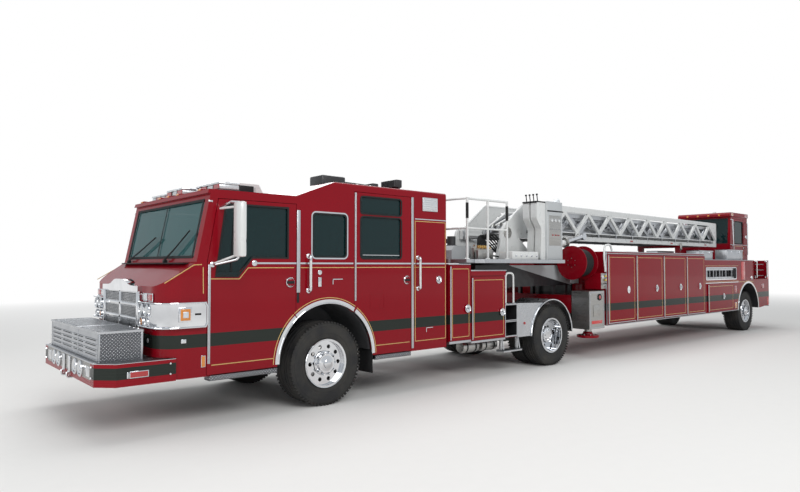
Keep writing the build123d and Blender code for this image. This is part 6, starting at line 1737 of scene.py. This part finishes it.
for n in range(6):
    y = -0.72 + 0.045 * n
    x = -2.86 + 0.05 * n
    left = [(x, -0.65, 2.09), (x, -0.65 + 0.02 * n, 2.30), (-2.45, y + 0.05, 2.34 - 0.02 * n)]
    left += [(-2.16, y * 0.75, 2.26 - 0.03 * n), (-2.02, y * 0.72, 2.02)]
    right = [(x, 0.65, 2.09), (x + 0.02, 0.62, 2.26), (-2.50, 0.50 - 0.03 * n, 2.30 - 0.02 * n)]
    right += [(-2.22, 0.36 + 0.02 * n, 2.10), (-2.18, 0.34 + 0.02 * n, 1.90)]
    hoses += [left, right]
hoses.append([(-1.62, -0.95, 1.96), (-1.90, -0.72, 1.94), (-2.30, -0.66, 1.94), (-2.60, -0.62, 1.98)])
maker.tubes(hoses, 0.014, 0.09, 10)
maker.use(BRASS)
for hose in hoses[:-1]:
    maker.tube([hose[0], (hose[0][0], hose[0][1], hose[0][2] + 0.045)], 0.019, 0.0, 6)
maker.use(STEEL)
for side in maker.both():
    maker.hoop(rim(0.060, 0.105, 0.016, 0.020), (-2.0, 0.600, 2.385), OUTWARD, 36)
    maker.turned(dome(0.058, 0.056, 0.024, 0.028), (-2.0, 0.602, 2.385), OUTWARD, 28)
    outward = Vector((0, side, 0)).to_track_quat("Z", "Y").to_matrix().to_4x4()
    maker.nuts(Matrix.Translation((-2.0, side * 0.618, 2.385)) @ outward, 8, 0.083, 0.010, 0.009, 0.012)
maker.nuts(Matrix.Translation((-1.95, 0, 1.895)), 36, 0.52, 0.014, 0.013, 0.016)
maker.done()

# %% [markdown]
# The ladder is four nested trusses. Each top chord and heel strut is a round tube, and each rung has a rubber grip
# between two steel collars. A chord and its strut are one bent path, and the rungs repeat by a fixed pitch.

# %% Ladder sections
# each section's heel x, tip x, half width, rail thickness, foot z, rail height, top z and tube radius
SECTIONS = {
    "base": (-2.06, 7.33, 0.53, 0.080, 2.300, 0.170, 2.990, 0.026),
    "lower_mid": (-1.50, 7.24, 0.43, 0.060, 2.385, 0.110, 2.880, 0.023),
    "upper_mid": (-1.38, 6.83, 0.35, 0.050, 2.450, 0.090, 2.830, 0.021),
    "fly": (-1.26, 6.47, 0.28, 0.045, 2.505, 0.075, 2.780, 0.019),
}
RUNG_STEP = 0.35
GRIP_R = 0.0238
GRIP = rubber("rung_grip", (0.16, 0.165, 0.17), (0.24, 0.24, 0.235), 400.0)
for name, (heel, tip, half, rail, low, rail_height, top, tube_r) in SECTIONS.items():
    maker = Maker(f"ladder_{name}_trim", f"ladder_{name}", "white_paint", WHITE)
    span = heel + 0.70
    for _ in maker.both():
        y = half - tube_r
        maker.tube(
            [(heel + 0.03, y, low + rail_height), (span, y, top - 0.004), (tip - 0.002, y, top - 0.044)], tube_r,
            0.10, 16,
        )
        maker.use(SATIN)
        rail_top = low + rail_height
        maker.box(
            (heel + 0.004, heel + 0.060), (half - rail - 0.004, half + 0.002), (low - 0.002, rail_top + 0.004),
            0.006,
        )
        maker.box(
            (tip - 0.050, tip + 0.002), (half - rail - 0.002, half + 0.002), (low - 0.002, rail_top + 0.003), 0.005,
        )
        maker.use(STEEL)
        count = int((tip - heel - 0.4) / RUNG_STEP)
        start = (heel + 0.2, half + 0.001, low + rail_height * 0.5)
        maker.pegs(count, start, (RUNG_STEP, 0, 0), 0.010, 0.008, 0.008, OUTWARD, 6)
        maker.use(WHITE)
    reach = half - rail - 0.002
    count = int((tip - heel - 0.3) / RUNG_STEP) + 1
    maker.use(GRIP)
    maker.pegs(count, (heel + 0.15, -reach, low + 0.022), (RUNG_STEP, 0, 0), GRIP_R, GRIP_R, 2 * reach, OUTWARD, 12)
    for sign in (-1, 1):
        maker.use(STEEL)
        maker.pegs(
            count, (heel + 0.15, sign * (reach - 0.012), low + 0.022), (RUNG_STEP, 0, 0), 0.029, 0.029, 0.020,
            OUTWARD, 16,
        )
    if name != "base":
        for sign in (-1, 1):
            y = sign * (half - rail * 0.5)
            maker.turned(
                [(0.0, -0.018), (0.042, -0.018), (0.036, 0), (0.042, 0.018), (0.0, 0.018)],
                (heel + 0.10, y, low + rail_height + 0.030), OUTWARD, 24,
            )
            maker.tube(
                [(heel + 0.10, y, low + rail_height + 0.068), (tip - 0.12, y, low + rail_height + 0.020)], 0.006,
                0.0, 6,
            )
    if name == "base":
        maker.use(WHITE)
        for _ in maker.both():
            maker.hoop(rim(0.060, 0.100, 0.030, 0.034), (0.35, 0.53, 2.385), OUTWARD, 32)
            maker.use(SEAL)
            maker.tubes([[(-1.35, 0.545, z), (7.05, 0.545, z)] for z in (2.44, 2.41)], 0.010, 0.0, 8)
            maker.use(SATIN)
            maker.bars(12, (-1.0, 0.540, 2.425), (0.72, 0, 0), (0.030, 0.034, 0.066))
            maker.use(RED_LENS).bars(4, (0.60, 0.537, 2.345), (2.0, 0, 0), (0.10, 0.012, 0.034))
            maker.use(WHITE)
    if name == "fly":
        maker.use(RED_PLAIN)
        maker.hoop([(0.046, 0), (0.062, 0.004), (0.062, 0.05), (0.046, 0.06)], (6.49, 0, 2.885), (1, 0, 0.4), 28)
        maker.use(CHROME)
        maker.turned(
            [(0.060, 0), (0.064, 0.02), (0.050, 0.05), (0.042, 0.10), (0.048, 0.13), (0.040, 0.135), (0, 0.12)],
            (6.49, 0, 2.886), (1, 0, 0.41), 28,
        )
        maker.use(CLEAR_LENS)
        for _ in maker.both():
            maker.turned([(0.0, 0), (0.055, 0.01), (0.06, 0.06), (0.0, 0.075)], (6.40, 0.20, 2.80), REARWARD, 24)
    maker.done()

# %% Lift cylinders
LIFT_FOOT = Vector((-1.5, 0, 1.985))
LIFT_EYE = Vector((0.35, 0, 2.385))
LIFT_Y = 0.68
along = (LIFT_EYE - LIFT_FOOT).normalized()
maker = Maker("lift_barrel_trim", "lift_barrels", "white_paint", WHITE)
for side in (-1, 1):
    end = LIFT_FOOT + along * 1.235 + Vector((0, side * LIFT_Y, 0))
    maker.use(STEEL)
    maker.hoop([(0.056, -0.030), (0.104, -0.030), (0.104, 0.004), (0.088, 0.018), (0.056, 0.020)], end, along, 36)
    maker.use(SEAL)
    start = LIFT_FOOT + along * 0.25 + Vector((0, side * LIFT_Y, 0.105))
    maker.tube(
        [
            start, start + along * 0.40, start + along * 0.86 + Vector((0, 0, 0.004)),
            start + along * 0.90 - Vector((0, 0, 0.03)),
        ],
        0.011, 0.03, 8,
    )
    maker.use(BRASS)
    maker.turned([(0, 0), (0.018, 0), (0.018, 0.03), (0, 0.03)], start - Vector((0, 0, 0.018)), UPWARD, 12)
maker.done()

# %% [markdown]
# The rear steering cab has framed windows, a chrome grab rail along each side, lamps on its roof edge and a wiper on
# its raked front screen. Its doors open, so their frames, handles and hinges ride on the doors.

# %% Rear cab
TILLER_Y = 0.7205
for hand, side in HANDS:
    maker = Maker(f"door_tiller_trim_{hand}", f"door_tiller_{hand}", "polished", CHROME, side)
    rounded_frame(maker, (8.108, 8.742), (2.412, 3.058), TILLER_Y, 0.055, 0.026, SEAL, 0.006)
    rounded_frame(maker, (8.098, 8.752), (2.402, 3.068), TILLER_Y, 0.060, 0.008, CHROME, 0.004)
    piano_hinge(maker, 8.052, (1.99, 3.11), TILLER_Y, 0.020)
    maker.use(CHROME).turned(
        [(0.044, 0), (0.044, 0.012), (0.036, 0.018), (0, 0.010)], (8.765, TILLER_Y, 2.29), OUTWARD, 28,
    )
    maker.use(SEAL).box((8.735, 8.795), (0.738, 0.750), (2.276, 2.304), 0.006)
    rounded_frame(maker, (8.115, 8.735), (2.020, 2.340), TILLER_Y, 0.02, STRIPE, GOLD_LEAF, 0.0015)
    maker.done()
maker = Maker("rear_cab_trim", "trailer", "red_paint", RED_PLAIN)
for _ in maker.both():
    maker.use(CHROME)
    maker.tube(
        [(7.90, 0.722, 2.345), (7.90, 0.775, 2.345), (7.835, 0.775, 3.10), (7.835, 0.722, 3.10)], 0.013, 0.03, 12,
    )
    maker.tube(
        [(8.93, 0.722, 2.10), (8.93, 0.780, 2.10), (8.93, 0.780, 3.05), (8.93, 0.722, 3.05)], 0.014, 0.03, 12,
    )
    maker.use(RED_PLAIN).box((7.76, 9.075), (0.722, 0.748), (3.185, 3.215), 0.008)
    maker.use(SATIN).box((7.80, 9.070), (0.718, 0.728), (2.372, 2.386), 0.003)
    round_lamp(maker, (8.955, TILLER_Y, 2.62), OUTWARD, 0.055, CLEAR_LENS, 0.020)
    side_lamp(maker, (8.86, 9.00), (3.215, 3.275), 0.740, RED_LENS, 0.008, 0.012)
    side_lamp(maker, (7.86, 7.98), (3.215, 3.275), 0.740, AMBER_LENS, 0.008, 0.012)
    maker.use(PALE_GREY).box((7.30, 7.62), (0.80, 1.05), (1.925, 2.02), 0.012)
    maker.use(SEAL).tube([(7.62, 0.95, 1.97), (7.72, 0.90, 1.97), (7.80, 0.70, 2.02)], 0.014, 0.05, 8)
# front screen seal and wiper
face_out = Vector((-0.997, 0, 0.075))
LEAN = 0.060 / 0.79


def on_rear_screen(y, z, off=0.006):
    return (7.820 + (z - 2.40) * LEAN - off, y, z)


maker.use(SEAL)
corners = [(-0.66, 2.405), (0.66, 2.405), (0.66, 3.145), (-0.66, 3.145)]
maker.ribbon([on_rear_screen(*corner) for corner in corners], 0.030, face_out, 0.008, closed=True)
foot = Vector(on_rear_screen(0.05, 2.40, 0.040))
end = Vector(on_rear_screen(-0.35, 2.92, 0.030))
maker.tube([foot, end], 0.007, 0.0, 8)
maker.tube([foot.lerp(end, share) + Vector((-0.008, 0.02, 0.01)) for share in (0.35, 1.08)], 0.009, 0.0, 6)
maker.turned([(0.022, -0.02), (0.022, 0.012), (0, 0.016)], foot, face_out, 20)
rear_pane = [(9.082, -0.60, 2.46), (9.082, 0.60, 2.46), (9.082, 0.60, 3.07), (9.082, -0.60, 3.07)]
maker.ribbon(rear_pane, 0.026, REARWARD, 0.006, closed=True)
maker.use(RED_PLAIN)
maker.plate(
    [(7.752, 3.215), (7.752, 3.250), (7.800, 3.303), (9.078, 3.303), (9.078, 3.215)], "y", (-0.742, 0.742), 0.012,
)
maker.use(AMBER_LENS)
for y in (-0.45, -0.15, 0.15, 0.45):
    maker.turned(dome(0.028, 0.026, 0.016, 0.024), (7.755, y, 3.232), FORWARD, 20)
maker.use(WHITE)
maker.turned(
    [(0.070, 0.0), (0.070, 0.02), (0.055, 0.04), (0.055, 0.075), (0.045, 0.09), (0, 0.095)], (8.55, 0.0, 3.300),
    UPWARD, 28,
)
maker.use(CHROME)
for y in (-0.52, 0.52):
    maker.turned([(0.045, 0), (0.055, 0.05), (0.050, 0.06), (0, 0.04)], (9.075, y, 3.15), REARWARD, 24)
# the ladder cradle's pads and cheeks
maker.use(SEAL)
for _ in maker.both():
    maker.box((4.965, 5.085), (0.43, 0.56), (2.284, 2.2985), 0.004)
maker.use(STEEL)
for _ in maker.both():
    maker.box((4.985, 5.065), (0.560, 0.590), (2.18, 2.36), 0.010)
    maker.pegs(3, (5.025, 0.592, 2.21), (0, 0, 0.055), 0.012, 0.010, 0.010, OUTWARD, 6)
maker.done()
